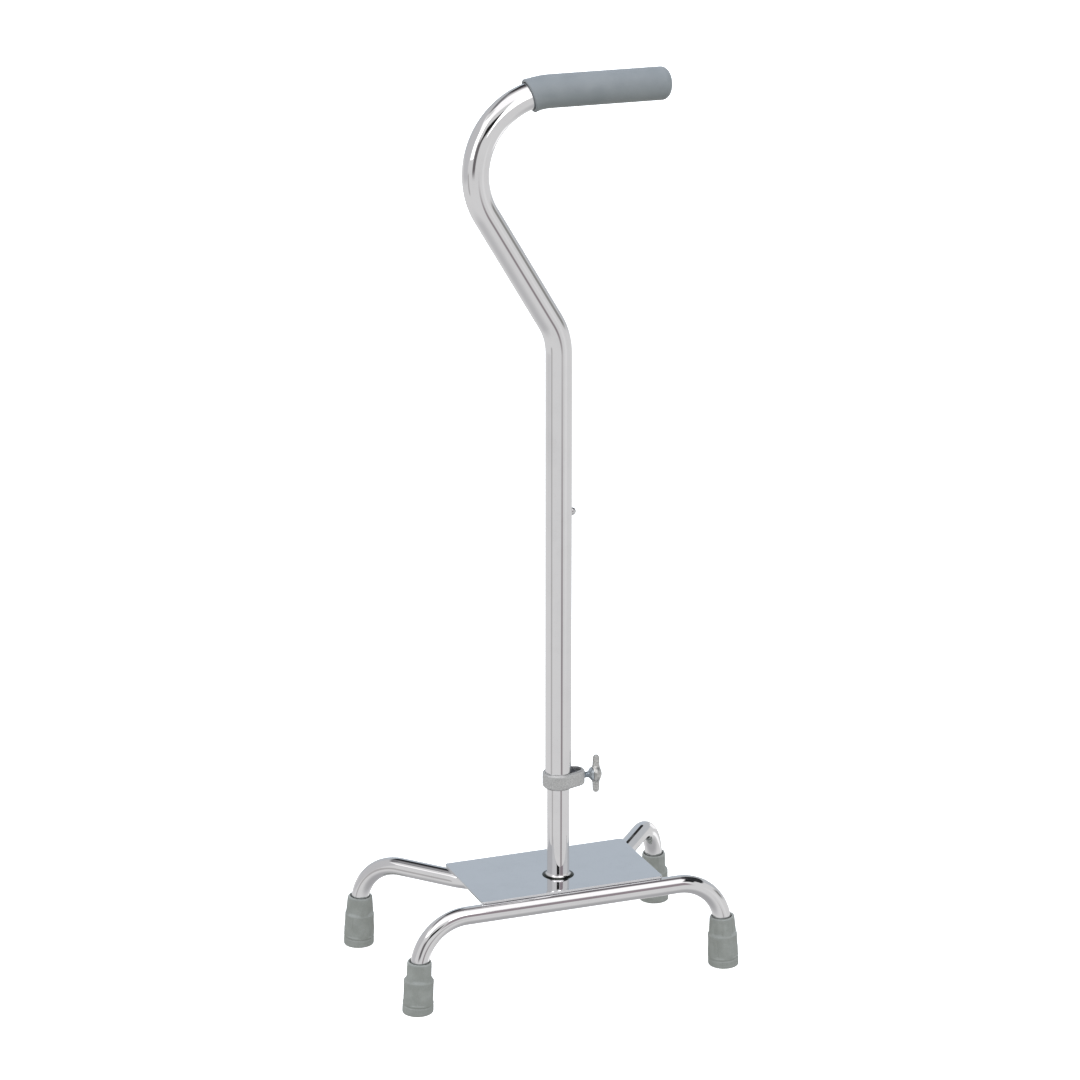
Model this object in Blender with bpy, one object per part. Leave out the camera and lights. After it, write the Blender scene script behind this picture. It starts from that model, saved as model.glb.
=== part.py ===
"""Quad walking cane: a bent handle tube that telescopes on a post, on a low base with four rubber-tipped legs.

Metres, +Z up. The origin is on the floor, in the middle of the four feet. +X runs along the base's long
side, in the direction that the handle points, and +Y runs from the two front feet to the two rear feet.
"""

import math

import bmesh
import bpy
from mathutils import Matrix, Vector

# Clearances
TOUCH_GAP = 0.0003  # between pieces that touch
TUBE_SLIDE_GAP = 0.0004  # radial, between the two shaft tubes

# Base: feet, legs and plate
FOOT_SPAN_X = 0.278  # between foot centres, along the base
FOOT_SPAN_Y = 0.155  # between foot centres, across the base
SHAFT_SETBACK = 0.0346  # from the line of the front feet back to the shaft's axis
LEG_RADIUS = 0.00775
LEG_WALL = 0.0015
LEG_STRAIGHT = 0.0393  # from the floor to the start of a leg's bend, along the leg
LEG_BEND_RADIUS = 0.042
LEG_LEAN = math.radians(2.5)  # each leg leans out towards its foot
REAR_ARM_ANGLE = math.radians(50.0)  # of the rear tube's arms in plan, from the X axis
REAR_BEND_RADIUS = 0.045  # in plan
REAR_RUN_OFFSET = 0.030  # from the shaft's axis back to the rear tube's middle run
PLATE_LENGTH = 0.1635
PLATE_DEPTH = 0.0934
PLATE_THICKNESS = 0.002
PLATE_CORNER = 0.003
PLATE_FRONT_OVERLAP = 0.0011  # in front of the front tube's axis
PLATE_WELD_RADIUS = 0.0015
PLATE_WELD_LENGTH = 0.026
PLATE_WELD_END = ((0.7, 0.0006), (1.0, 0.002))  # share of the bead's radius, distance from its end
FRONT_WELD_OFFSET = 0.045  # along the front tube, from its middle
REAR_WELD_OFFSET = 0.0195  # along the rear tube's middle run, from its middle
SHAFT_WELD_LEG = 0.0035
SHAFT_WELD_EDGE = 0.0004  # of the upright at its foot and the flat at its top
SHAFT_WELD_HOLLOW = 0.42  # of the leg, to the middle of its hollow face

# Rubber tips and the steel washers in them
TIP_OVER_BEND = 0.0057  # from the start of the leg's bend up to the tip's mouth
TIP_FLOOR = 0.009  # rubber under the washer
TIP_WALL_TOP = 0.0028
TIP_BASE_RADIUS = 0.0135
TIP_BASE_HEIGHT = 0.006
TIP_CHAMFER = 0.0006  # chamfers at the top of the base band and at the mouth
WASHER_THICKNESS = 0.0016
WASHER_HOLE_RADIUS = 0.003

# Shaft
LOWER_TUBE_RADIUS = 0.0095
LOWER_TUBE_WALL = 0.0012
UPPER_TUBE_WALL = 0.0012
BUTTON_HEIGHT = 0.410  # above the floor
BUTTON_TO_TUBE_TOP = 0.030
CAP_HEAD_HEIGHT = 0.002
PLUG_DEPTH = 0.010  # of the two tube plugs, into their tubes
PLUG_CHAMFER = 0.0007
STRAIGHT_RUN = 0.3735  # of the upper tube, from its lower end to its first bend
HOLE_PITCH = 0.0254
LOWEST_HOLE = 0.0597  # above the upper tube's lower end
HOLE_TO_BEND = 0.080  # least distance from the top hole to the first bend
HOLES_ABOVE_BUTTON = 2
SLIT_WIDTH = 0.0015
SLIT_LENGTH = 0.030

# Upper tube's bends, handle and grip
FIRST_BEND_RADIUS = 0.0525
FIRST_BEND_ANGLE = math.radians(30.9)
SLANT_LENGTH = 0.1067
CROOK_RADIUS = 0.0641
HANDLE_RUN = 0.0955  # from the crook to the tube's end
HANDLE_PLUG_HEAD = 0.002
GRIP_WALL = 0.0022
GRIP_WRAP = math.radians(17.0)  # of the crook that the grip covers
GRIP_END_LENGTH = 0.005  # of the grip's domed end, past the handle plug
GRIP_DOME_LEAD = 0.0015  # of the dome's start, before the bore's end
GRIP_DOME_STEPS = 4
GRIP_DOME_TURN = math.radians(78.3)  # of the dome's curve, before its flat end
GRIP_DOME_POWER = 0.7  # of the cosine; below 1 it is fuller than round

# Snap button and its spring
BUTTON_RADIUS = 0.0034
BUTTON_REACH = 0.0042  # of its dome, past the upper tube
SPRING_THICKNESS = 0.0006
SPRING_WIDTH = 0.007
SPRING_DROP = 0.034  # from the button's axis to the spring's bend
SPRING_BEND_RADIUS = 0.002
SPRING_SEAT = 0.006  # half the length of the flat under the button, and the foot of the far flat
SPRING_FAR_END = 0.002  # above the button's axis

# Clamp collar, shoe, screw and wing knob
COLLAR_HEIGHT = 0.0137
COLLAR_WALL = 0.002
COLLAR_END_REACH = 0.0124  # of the loop's end, past the upper tube
COLLAR_END_RADIUS = 0.0085
COLLAR_END_WALL = 0.003
BUSH_HEIGHT = 0.0022
SHOE_THICKNESS = 0.0038
SHOE_HALF_WIDTH = 0.0043
SHOE_HEIGHT = 0.011
SHOE_SEAT_DEPTH = 0.0018
SCREW_RADIUS = 0.0028
SCREW_TIP_RADIUS = 0.002
NECK_LENGTH = 0.0038  # of bare screw between the collar and the cone
CONE_RADIUS = 0.0058
CONE_LENGTH = 0.003
HUB_RADIUS = 0.0066
HUB_LENGTH = 0.0085
HUB_FLOOR = 0.0025  # metal past the screw's end
WING_SPAN = 0.0343
WING_WIDTH = 0.0060
WING_THICKNESS = 0.0032
WING_START = 0.0008  # of a wing's root, past the hub's bore
WING_END_SHARE = 0.85  # of the wing's width, at its round end
WING_ALONG_HUB = 0.42  # of the hub's length, to the wings' middle
HUB_BACK_SHARE = 0.93  # of the hub's radius, at its back
HUB_SHOULDER = 0.2  # of the hub's length, where it reaches its full radius
HUB_DOME_START = 0.45  # of the hub's length
HUB_DOME_STEP = math.radians(26.0)
HUB_DOME_POWER = 0.6  # of the cosine; below 1 it is fuller than round
SHOE_CHAMFER = 0.001

TUBE_SIDES = 32
LEG_SIDES = 24
SMALL_SIDES = 24

# Sizes that follow from the ones above
SHAFT_Y = SHAFT_SETBACK - FOOT_SPAN_Y / 2
UPPER_TUBE_RADIUS = LOWER_TUBE_RADIUS + TUBE_SLIDE_GAP + UPPER_TUBE_WALL
GRIP_BORE = UPPER_TUBE_RADIUS + TOUCH_GAP
GRIP_RADIUS = GRIP_BORE + GRIP_WALL
LEG_BEND_RISE = LEG_BEND_RADIUS * (1 - math.sin(LEG_LEAN))
LEG_AXIS_HEIGHT = LEG_STRAIGHT * math.cos(LEG_LEAN) + LEG_BEND_RISE
TIP_HEIGHT = LEG_STRAIGHT + TIP_OVER_BEND
TIP_MOUTH_RELIEF = TIP_OVER_BEND**2 / (2 * LEG_BEND_RADIUS)  # how far the bend leaves the leg's axis there
PLATE_BOTTOM = LEG_AXIS_HEIGHT + LEG_RADIUS + TOUCH_GAP
PLATE_TOP = PLATE_BOTTOM + PLATE_THICKNESS
PLATE_FRONT = -FOOT_SPAN_Y / 2 - PLATE_FRONT_OVERLAP
HOLE_COUNT = int((STRAIGHT_RUN - LOWEST_HOLE - HOLE_TO_BEND) / HOLE_PITCH) + 1
BUTTON_HOLE = HOLE_COUNT - 1 - HOLES_ABOVE_BUTTON  # counted from the lowest, which is 0
UPPER_TUBE_BOTTOM = BUTTON_HEIGHT - LOWEST_HOLE - BUTTON_HOLE * HOLE_PITCH
LOWER_TUBE_TOP = BUTTON_HEIGHT + BUTTON_TO_TUBE_TOP
BUTTON_HOLE_RADIUS = BUTTON_RADIUS + TOUCH_GAP
BUSH_TOP = UPPER_TUBE_BOTTOM - TOUCH_GAP
COLLAR_BOTTOM = BUSH_TOP - BUSH_HEIGHT - 2 * TOUCH_GAP
COLLAR_MIDDLE = COLLAR_BOTTOM + COLLAR_HEIGHT / 2
COLLAR_END_X = UPPER_TUBE_RADIUS + COLLAR_END_REACH
COLLAR_BORE = UPPER_TUBE_RADIUS + TOUCH_GAP
SHOE_BACK = COLLAR_BORE + SHOE_THICKNESS
TIP_BORE = LEG_RADIUS + TOUCH_GAP
WASHER_BOTTOM = TIP_FLOOR + TOUCH_GAP
LEG_END = WASHER_BOTTOM + WASHER_THICKNESS + TOUCH_GAP

AXIS_TO_X = (0.0, math.pi / 2, 0.0)  # turns a piece's own Z axis to +X


# Building blocks
def finish(name, colour, roughness, metallic):
    """A Principled material of one colour."""
    material = bpy.data.materials.new(name)
    material.use_nodes = True
    shader = material.node_tree.nodes["Principled BSDF"]
    shader.inputs["Base Color"].default_value = (*colour, 1.0)
    shader.inputs["Roughness"].default_value = roughness
    shader.inputs["Metallic"].default_value = metallic
    material.diffuse_color = (*colour, 1.0)
    return material


def chrome(name):
    return finish(name + "_chrome", (0.72, 0.73, 0.75), 0.08, 1.0)


def zinc(name):
    return finish(name + "_zinc", (0.50, 0.51, 0.52), 0.35, 1.0)


def rubber(name):
    return finish(name + "_rubber", (0.26, 0.28, 0.27), 0.75, 0.0)


def nylon(name):
    return finish(name + "_nylon", (0.62, 0.62, 0.60), 0.55, 0.0)


def add_object(name, shape, material, parent=None, location=(0, 0, 0), rotation=(0, 0, 0)):
    """A bmesh made into a named object with smooth sides and sharp edges."""
    bmesh.ops.recalc_face_normals(shape, faces=shape.faces[:])
    mesh = bpy.data.meshes.new(name)
    shape.to_mesh(mesh)
    shape.free()
    mesh.shade_smooth()
    mesh.set_sharp_from_angle(angle=math.radians(35))
    if material:
        mesh.materials.append(material)
    piece = bpy.data.objects.new(name, mesh)
    bpy.context.scene.collection.objects.link(piece)
    piece.parent = parent
    piece.location = location
    piece.rotation_euler = rotation
    return piece


def add_empty(name, location, rotation=(0, 0, 0)):
    empty = bpy.data.objects.new(name, None)
    bpy.context.scene.collection.objects.link(empty)
    empty.location = location
    empty.rotation_euler = rotation
    return empty


def add_cutter(name, shape, parent=None, location=(0, 0, 0), rotation=(0, 0, 0)):
    cutter = add_object(name, shape, None, parent, location, rotation)
    cutter.hide_render = True
    cutter.display_type = "WIRE"
    return cutter


def boolean(piece, other, operation="DIFFERENCE"):
    modifier = piece.modifiers.new(other.name, "BOOLEAN")
    modifier.operation = operation
    modifier.solver = "EXACT"
    modifier.object = other


def lathe(profile, sides, closed=False):
    """Spins a profile of (radius, height) points a full turn round Z. A closed profile makes a ring."""
    shape = bmesh.new()
    points = [shape.verts.new((radius, 0, height)) for radius, height in profile]
    ends = points[1:] + points[:1] if closed else points[1:]
    edges = [shape.edges.new(pair) for pair in zip(points, ends)]
    bmesh.ops.spin(
        shape, geom=points + edges, cent=(0, 0, 0), axis=(0, 0, 1), angle=2 * math.pi, steps=sides
    )
    bmesh.ops.remove_doubles(shape, verts=shape.verts[:], dist=1e-6)
    return shape


def prism(outline, height):
    """Extrudes a closed outline of (x, y) points up from Z = 0."""
    shape = bmesh.new()
    face = shape.faces.new([shape.verts.new((x, y, 0)) for x, y in outline])
    grown = bmesh.ops.extrude_face_region(shape, geom=[face])["geom"]
    moved = [item for item in grown if isinstance(item, bmesh.types.BMVert)]
    bmesh.ops.translate(shape, verts=moved, vec=(0, 0, height))
    return shape


def add_box(shape, low, high):
    """Adds a box between two corners to a bmesh."""
    low = Vector(low)
    high = Vector(high)
    place = Matrix.Translation((low + high) / 2) @ Matrix.Diagonal((*(high - low), 1.0))
    bmesh.ops.create_cube(shape, size=1.0, matrix=place)


def add_cylinder(shape, radius, low, high, sides=SMALL_SIDES, turn=None):
    """Adds a cylinder along Z, from low to high, turned by a matrix where one is given."""
    place = Matrix.Translation((0, 0, (low + high) / 2))
    bmesh.ops.create_cone(
        shape,
        cap_ends=True,
        segments=sides,
        radius1=radius,
        radius2=radius,
        depth=high - low,
        matrix=turn @ place if turn else place,
    )


class BentTube:
    """A cross-section that is extruded along straight runs and spun round bends.

    The section starts square across the heading, as a ring of faces or, where the bore is 0, as a disc.
    """

    def __init__(self, start, heading, radius, bore, sides):
        self.shape = bmesh.new()
        self.place = Vector(start)
        self.heading = Vector(heading).normalized()
        turn = self.heading.to_track_quat("Z", "Y").to_matrix().to_4x4()
        matrix = Matrix.Translation(self.place) @ turn
        outer = self.circle(radius, sides, matrix)
        if bore:
            inner = self.circle(bore, sides, matrix)
            self.section = bmesh.ops.bridge_loops(self.shape, edges=outer[1] + inner[1])["faces"]
        else:
            self.section = [self.shape.faces.new(outer[0])]

    def circle(self, radius, sides, matrix):
        """One loop of vertices and its edges."""
        turns = [2 * math.pi * i / sides for i in range(sides)]
        loop = [
            self.shape.verts.new(matrix @ Vector((radius * math.cos(t), radius * math.sin(t), 0)))
            for t in turns
        ]
        edges = [self.shape.edges.new(pair) for pair in zip(loop, loop[1:] + loop[:1])]
        return loop, edges

    def grow(self):
        """Extrudes the section in place and returns its new vertices."""
        edges = list({edge for face in self.section for edge in face.edges})
        grown = bmesh.ops.extrude_face_region(self.shape, geom=self.section + edges)["geom"]
        self.section = [item for item in grown if isinstance(item, bmesh.types.BMFace)]
        return [item for item in grown if isinstance(item, bmesh.types.BMVert)]

    def straight(self, length):
        step = self.heading * length
        bmesh.ops.translate(self.shape, verts=self.grow(), vec=step)
        self.place += step

    def bend(self, radius, angle, towards, steps):
        """Turns by an angle round a centre that lies at a radius in the direction towards."""
        towards = Vector(towards).normalized()
        centre = self.place + towards * radius
        axis = self.heading.cross(towards)
        for _ in range(steps):
            turn = Matrix.Rotation(angle / steps, 3, axis)
            bmesh.ops.rotate(self.shape, verts=self.grow(), cent=centre, matrix=turn)
            self.place = centre + turn @ (self.place - centre)
            self.heading = turn @ self.heading

    def narrow(self, length, scale):
        """Goes straight on while the section shrinks about its middle."""
        moved = self.grow()
        step = self.heading * length
        for vertex in moved:
            vertex.co = self.place + (vertex.co - self.place) * scale + step
        self.place += step


# Feet: each stands on an empty at its centre on the floor, whose Z axis is the leg's axis
def foot_places():
    """Name, X, Y and the plan heading of the leg's top, for each foot."""
    x = FOOT_SPAN_X / 2
    y = FOOT_SPAN_Y / 2
    return [
        ("front_left", -x, -y, 0.0),
        ("front_right", x, -y, math.pi),
        ("rear_left", -x, y, -REAR_ARM_ANGLE),
        ("rear_right", x, y, math.pi + REAR_ARM_ANGLE),
    ]


def add_feet():
    """A rubber tip with a steel washer at the bottom of its bore, on each leg."""
    below = -TIP_BASE_RADIUS * math.sin(LEG_LEAN) * 2
    top_radius = TIP_BORE + TIP_WALL_TOP
    profile = [
        (0, below),
        (TIP_BASE_RADIUS, below),
        (TIP_BASE_RADIUS, TIP_BASE_HEIGHT),
        (TIP_BASE_RADIUS - TIP_CHAMFER, TIP_BASE_HEIGHT + TIP_CHAMFER),
        (top_radius, TIP_HEIGHT - TIP_CHAMFER),
        (top_radius - TIP_CHAMFER, TIP_HEIGHT),
        (TIP_BORE + TIP_MOUTH_RELIEF, TIP_HEIGHT),
        (TIP_BORE, LEG_STRAIGHT),
        (TIP_BORE, TIP_FLOOR),
        (0, TIP_FLOOR),
    ]
    for name, x, y, heading in foot_places():
        foot = add_empty("foot_" + name, (x, y, 0), (0, LEG_LEAN, heading))
        shape = lathe(profile, SMALL_SIDES)
        floor_normal = Matrix.Rotation(-LEG_LEAN, 3, "Y") @ Vector((0, 0, 1))
        cut = bmesh.ops.bisect_plane(
            shape,
            geom=shape.verts[:] + shape.edges[:] + shape.faces[:],
            plane_co=(0, 0, 0),
            plane_no=floor_normal,
            clear_inner=True,
        )
        rim = [item for item in cut["geom_cut"] if isinstance(item, bmesh.types.BMEdge)]
        bmesh.ops.holes_fill(shape, edges=rim)
        add_object("tip_" + name, shape, rubber("tip_" + name), foot)
        ring = [
            (WASHER_HOLE_RADIUS, WASHER_BOTTOM),
            (TIP_BORE - TOUCH_GAP, WASHER_BOTTOM),
            (TIP_BORE - TOUCH_GAP, WASHER_BOTTOM + WASHER_THICKNESS),
            (WASHER_HOLE_RADIUS, WASHER_BOTTOM + WASHER_THICKNESS),
        ]
        washer = lathe(ring, SMALL_SIDES, closed=True)
        add_object("tip_washer_" + name, washer, zinc("tip_washer_" + name), foot)


# Base
def leg_start(x, y, heading):
    """Where a leg's tube starts, in its tip, and the direction that it rises in."""
    inward = Vector((math.cos(heading), math.sin(heading), 0))
    rise = inward * math.sin(LEG_LEAN) + Vector((0, 0, math.cos(LEG_LEAN)))
    return Vector((x, y, 0)) + rise * LEG_END, rise, inward


def leg_reach():
    """How far a leg and its upper bend carry the tube inwards, in plan, from its foot's centre."""
    return LEG_STRAIGHT * math.sin(LEG_LEAN) + LEG_BEND_RADIUS * math.cos(LEG_LEAN)


def start_leg_tube(place):
    """A leg tube from inside its left tip up to the level of the plate."""
    _, x, y, heading = place
    start, rise, inward = leg_start(x, y, heading)
    tube = BentTube(start, rise, LEG_RADIUS, LEG_RADIUS - LEG_WALL, LEG_SIDES)
    tube.straight(LEG_STRAIGHT - LEG_END)
    towards = inward * math.cos(LEG_LEAN) - Vector((0, 0, math.sin(LEG_LEAN)))
    tube.bend(LEG_BEND_RADIUS, math.pi / 2 - LEG_LEAN, towards, 8)
    return tube


def finish_leg_tube(tube):
    """Down from the level of the plate into the right tip."""
    tube.bend(LEG_BEND_RADIUS, math.pi / 2 - LEG_LEAN, (0, 0, -1), 8)
    tube.straight(LEG_STRAIGHT - LEG_END)


def add_leg_tubes():
    front_left, _, rear_left, _ = foot_places()
    front = start_leg_tube(front_left)
    front.straight(FOOT_SPAN_X - 2 * leg_reach())
    finish_leg_tube(front)
    add_object("front_leg_tube", front.shape, chrome("front_leg_tube"))

    sine = math.sin(REAR_ARM_ANGLE)
    cosine = math.cos(REAR_ARM_ANGLE)
    arm_drop = FOOT_SPAN_Y - SHAFT_SETBACK - REAR_RUN_OFFSET
    arm = (arm_drop - REAR_BEND_RADIUS * (1 - cosine)) / sine
    middle_run = FOOT_SPAN_X - 2 * (arm * cosine + REAR_BEND_RADIUS * sine)
    rear = start_leg_tube(rear_left)
    rear.straight(arm - leg_reach())
    rear.bend(REAR_BEND_RADIUS, REAR_ARM_ANGLE, (sine, cosine, 0), 5)
    rear.straight(middle_run)
    rear.bend(REAR_BEND_RADIUS, REAR_ARM_ANGLE, (0, 1, 0), 5)
    rear.straight(arm - leg_reach())
    finish_leg_tube(rear)
    add_object("rear_leg_tube", rear.shape, chrome("rear_leg_tube"))


def add_base_plate():
    """A flat plate with rounded corners and a round hole for the lower shaft tube."""
    shape = bmesh.new()
    half = PLATE_LENGTH / 2
    add_box(shape, (-half, PLATE_FRONT, 0), (half, PLATE_FRONT + PLATE_DEPTH, PLATE_THICKNESS))
    upright = [
        edge for edge in shape.edges if abs(edge.verts[0].co.z - edge.verts[1].co.z) > PLATE_THICKNESS / 2
    ]
    bmesh.ops.bevel(shape, geom=upright, offset=PLATE_CORNER, segments=3, profile=0.5, affect="EDGES")
    plate = add_object("base_plate", shape, chrome("base_plate"), location=(0, 0, PLATE_BOTTOM))
    hole = bmesh.new()
    add_cylinder(hole, LOWER_TUBE_RADIUS + TOUCH_GAP, -0.01, 0.01, TUBE_SIDES)
    boolean(plate, add_cutter("plate_hole_cutter", hole, location=(0, SHAFT_Y, PLATE_BOTTOM)))


def add_welds():
    """The ring of weld round the shaft's foot and four beads that hold the plate on the leg tubes."""
    inner = LOWER_TUBE_RADIUS + TOUCH_GAP
    leg = SHAFT_WELD_LEG
    hollow = SHAFT_WELD_HOLLOW * leg
    base = PLATE_TOP + TOUCH_GAP
    profile = [
        (inner, base),
        (inner + leg, base),
        (inner + leg, base + SHAFT_WELD_EDGE),
        (inner + hollow, base + hollow),
        (inner + SHAFT_WELD_EDGE, base + leg),
        (inner, base + leg),
    ]
    ring = lathe(profile, TUBE_SIDES, closed=True)
    add_object("shaft_weld", ring, chrome("shaft_weld"), location=(0, SHAFT_Y, 0))

    drop = TOUCH_GAP + PLATE_WELD_RADIUS
    rise = LEG_RADIUS + TOUCH_GAP - drop
    beside = math.sqrt((LEG_RADIUS + drop) ** 2 - rise**2) + TOUCH_GAP / 2
    height = PLATE_BOTTOM - drop
    front_y = -FOOT_SPAN_Y / 2 + beside
    rear_y = SHAFT_Y + REAR_RUN_OFFSET + beside
    beads = [
        ("weld_front_left", -FRONT_WELD_OFFSET, front_y),
        ("weld_front_right", FRONT_WELD_OFFSET, front_y),
        ("weld_rear_left", -REAR_WELD_OFFSET, rear_y),
        ("weld_rear_right", REAR_WELD_OFFSET, rear_y),
    ]
    half = PLATE_WELD_LENGTH / 2
    outline = [(0, -half)]
    outline += [(PLATE_WELD_RADIUS * share, distance - half) for share, distance in PLATE_WELD_END]
    outline += [(radius, -along) for radius, along in reversed(outline)]
    for name, x, y in beads:
        bead = lathe(outline, 12)
        add_object(name, bead, chrome(name), location=(x, y, height), rotation=AXIS_TO_X)


# Shaft
def add_lower_shaft():
    """The post that is welded to the plate, with its nylon cap, snap button and V spring."""
    bore = LOWER_TUBE_RADIUS - LOWER_TUBE_WALL
    tube = BentTube((0, 0, PLATE_BOTTOM), (0, 0, 1), LOWER_TUBE_RADIUS, bore, TUBE_SIDES)
    tube.straight(LOWER_TUBE_TOP - PLATE_BOTTOM)
    post = add_object("lower_tube", tube.shape, chrome("lower_tube"), location=(0, SHAFT_Y, 0))
    hole = bmesh.new()
    add_cylinder(hole, BUTTON_HOLE_RADIUS, bore / 2, UPPER_TUBE_RADIUS * 2, 16)
    cutter_place = (0, SHAFT_Y, BUTTON_HEIGHT)
    boolean(post, add_cutter("button_hole_cutter", hole, location=cutter_place, rotation=AXIS_TO_X))
    add_plug("lower_tube_cap", LOWER_TUBE_RADIUS, bore, CAP_HEAD_HEIGHT, (0, SHAFT_Y, LOWER_TUBE_TOP))

    axis = add_empty("button_axis", (0, SHAFT_Y, BUTTON_HEIGHT), AXIS_TO_X)
    arm = math.sqrt((bore - TOUCH_GAP) ** 2 - (SPRING_WIDTH / 2) ** 2)
    foot = arm + TOUCH_GAP
    shoulder = UPPER_TUBE_RADIUS + BUTTON_REACH - BUTTON_RADIUS
    dome = [
        (BUTTON_RADIUS * math.cos(turn), shoulder + BUTTON_RADIUS * math.sin(turn))
        for turn in (math.radians(18 * i) for i in range(5))
    ]
    profile = [(0, foot), (BUTTON_RADIUS, foot), *dome, (0, shoulder + BUTTON_RADIUS)]
    add_object("snap_button", lathe(profile, SMALL_SIDES), chrome("snap_button"), axis)
    add_spring(arm)


def add_spring(arm):
    """A V of spring strip in the post: one arm carries the button and the other rests on the far wall."""
    middle = arm - SPRING_THICKNESS / 2
    drop = -SPRING_DROP
    centre_line = [Vector((middle, SPRING_SEAT)), Vector((middle, -SPRING_SEAT))]
    for i in range(5):
        turn = math.pi * i / 4
        bend = Vector((math.cos(turn), -math.sin(turn))) * SPRING_BEND_RADIUS
        centre_line.append(Vector((0, drop)) + bend)
    centre_line += [Vector((-middle, -SPRING_SEAT)), Vector((-middle, SPRING_FAR_END))]
    sides = []
    earlier = centre_line[:1] + centre_line[:-1]
    later = centre_line[1:] + centre_line[-1:]
    for before, here, after in zip(earlier, centre_line, later):
        along = (after - before).normalized()
        out = Vector((along.y, -along.x)) * SPRING_THICKNESS / 2
        sides.append((here + out, here - out))
    outline = [side[0] for side in sides] + [side[1] for side in reversed(sides)]
    strip = prism(outline, SPRING_WIDTH)
    place = (0, SHAFT_Y + SPRING_WIDTH / 2, BUTTON_HEIGHT)
    add_object("snap_spring", strip, zinc("snap_spring"), location=place, rotation=(math.pi / 2, 0, 0))


def add_plug(name, tube_radius, bore, head, place, rotation=(0, 0, 0)):
    """A plug whose end fits a tube's bore and whose head covers the tube's end."""
    inner = bore - TOUCH_GAP
    outer = tube_radius - TOUCH_GAP / 2
    profile = [
        (0, -PLUG_DEPTH),
        (inner - PLUG_CHAMFER, -PLUG_DEPTH),
        (inner, PLUG_CHAMFER - PLUG_DEPTH),
        (inner, TOUCH_GAP),
        (outer, TOUCH_GAP),
        (outer, head - PLUG_CHAMFER),
        (outer - PLUG_CHAMFER, head),
        (0, head),
    ]
    return add_object(name, lathe(profile, SMALL_SIDES), nylon(name), None, place, rotation)


def follow_upper_tube(radius, bore):
    """The upper tube's straight run, its bend away from the handle and its slanted run."""
    path = BentTube((0, 0, UPPER_TUBE_BOTTOM), (0, 0, 1), radius, bore, TUBE_SIDES)
    path.straight(STRAIGHT_RUN)
    path.bend(FIRST_BEND_RADIUS, FIRST_BEND_ANGLE, (-1, 0, 0), 5)
    path.straight(SLANT_LENGTH)
    return path


def crook_centre():
    """Centre of the crook's bend in the shaft's frame."""
    sine = math.sin(FIRST_BEND_ANGLE)
    cosine = math.cos(FIRST_BEND_ANGLE)
    x = -FIRST_BEND_RADIUS * (1 - cosine) - SLANT_LENGTH * sine + CROOK_RADIUS * cosine
    z = UPPER_TUBE_BOTTOM + STRAIGHT_RUN + FIRST_BEND_RADIUS * sine + SLANT_LENGTH * cosine
    return Vector((x, 0, z + CROOK_RADIUS * sine))


def add_upper_tube(shaft):
    """The handle tube, with its row of height holes on the +X side and a slit in the end that is clamped."""
    bore = UPPER_TUBE_RADIUS - UPPER_TUBE_WALL
    path = follow_upper_tube(UPPER_TUBE_RADIUS, bore)
    towards = crook_centre() - path.place
    path.bend(CROOK_RADIUS, math.pi / 2 + FIRST_BEND_ANGLE, towards, 14)
    path.straight(HANDLE_RUN)
    tube = add_object("upper_tube", path.shape, chrome("upper_tube"), shaft)

    cutter = bmesh.new()
    for i in range(HOLE_COUNT):
        turn = Matrix.Translation((0, 0, UPPER_TUBE_BOTTOM + LOWEST_HOLE + i * HOLE_PITCH))
        turn = turn @ Matrix.Rotation(math.pi / 2, 4, "Y")
        add_cylinder(cutter, BUTTON_HOLE_RADIUS, bore / 2, UPPER_TUBE_RADIUS * 2, 16, turn)
    low = (-SLIT_WIDTH / 2, bore / 2, UPPER_TUBE_BOTTOM - 0.01)
    high = (SLIT_WIDTH / 2, UPPER_TUBE_RADIUS * 2, UPPER_TUBE_BOTTOM + SLIT_LENGTH)
    add_box(cutter, low, high)
    boolean(tube, add_cutter("hole_row_cutter", cutter, shaft))

    end = crook_centre() + Vector((HANDLE_RUN, 0, CROOK_RADIUS))
    plug = add_plug("handle_plug", UPPER_TUBE_RADIUS, bore, HANDLE_PLUG_HEAD, end, AXIS_TO_X)
    plug.parent = shaft


def start_grip(radius, lead_in):
    """A rod along the end of the crook and the handle. It starts lead_in before the grip does."""
    centre = crook_centre()
    out = Vector((-math.sin(GRIP_WRAP), 0, math.cos(GRIP_WRAP)))
    heading = Vector((math.cos(GRIP_WRAP), 0, math.sin(GRIP_WRAP)))
    start = centre + out * CROOK_RADIUS
    rod = BentTube(start - heading * lead_in, heading, radius, 0, TUBE_SIDES)
    if lead_in:
        rod.straight(lead_in)
    rod.bend(CROOK_RADIUS, GRIP_WRAP, -out, 3)
    return rod


def add_grip(shaft):
    """A moulded sleeve with a rounded closed end. Its mouth is square across the crook."""
    bore_run = HANDLE_RUN + HANDLE_PLUG_HEAD + TOUCH_GAP
    rod = start_grip(GRIP_RADIUS, 0)
    rod.straight(bore_run - GRIP_DOME_LEAD)
    depth_done = 0.0
    scale_done = 1.0
    for i in range(1, GRIP_DOME_STEPS + 1):
        turn = GRIP_DOME_TURN * i / GRIP_DOME_STEPS
        depth = (GRIP_END_LENGTH + GRIP_DOME_LEAD) * math.sin(turn)
        scale = math.cos(turn) ** GRIP_DOME_POWER
        rod.narrow(depth - depth_done, scale / scale_done)
        depth_done = depth
        scale_done = scale
    grip = add_object("grip", rod.shape, rubber("grip"), shaft)
    bore = start_grip(GRIP_BORE, 0.004)
    bore.straight(bore_run)
    boolean(grip, add_cutter("grip_bore_cutter", bore.shape, shaft))


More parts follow.
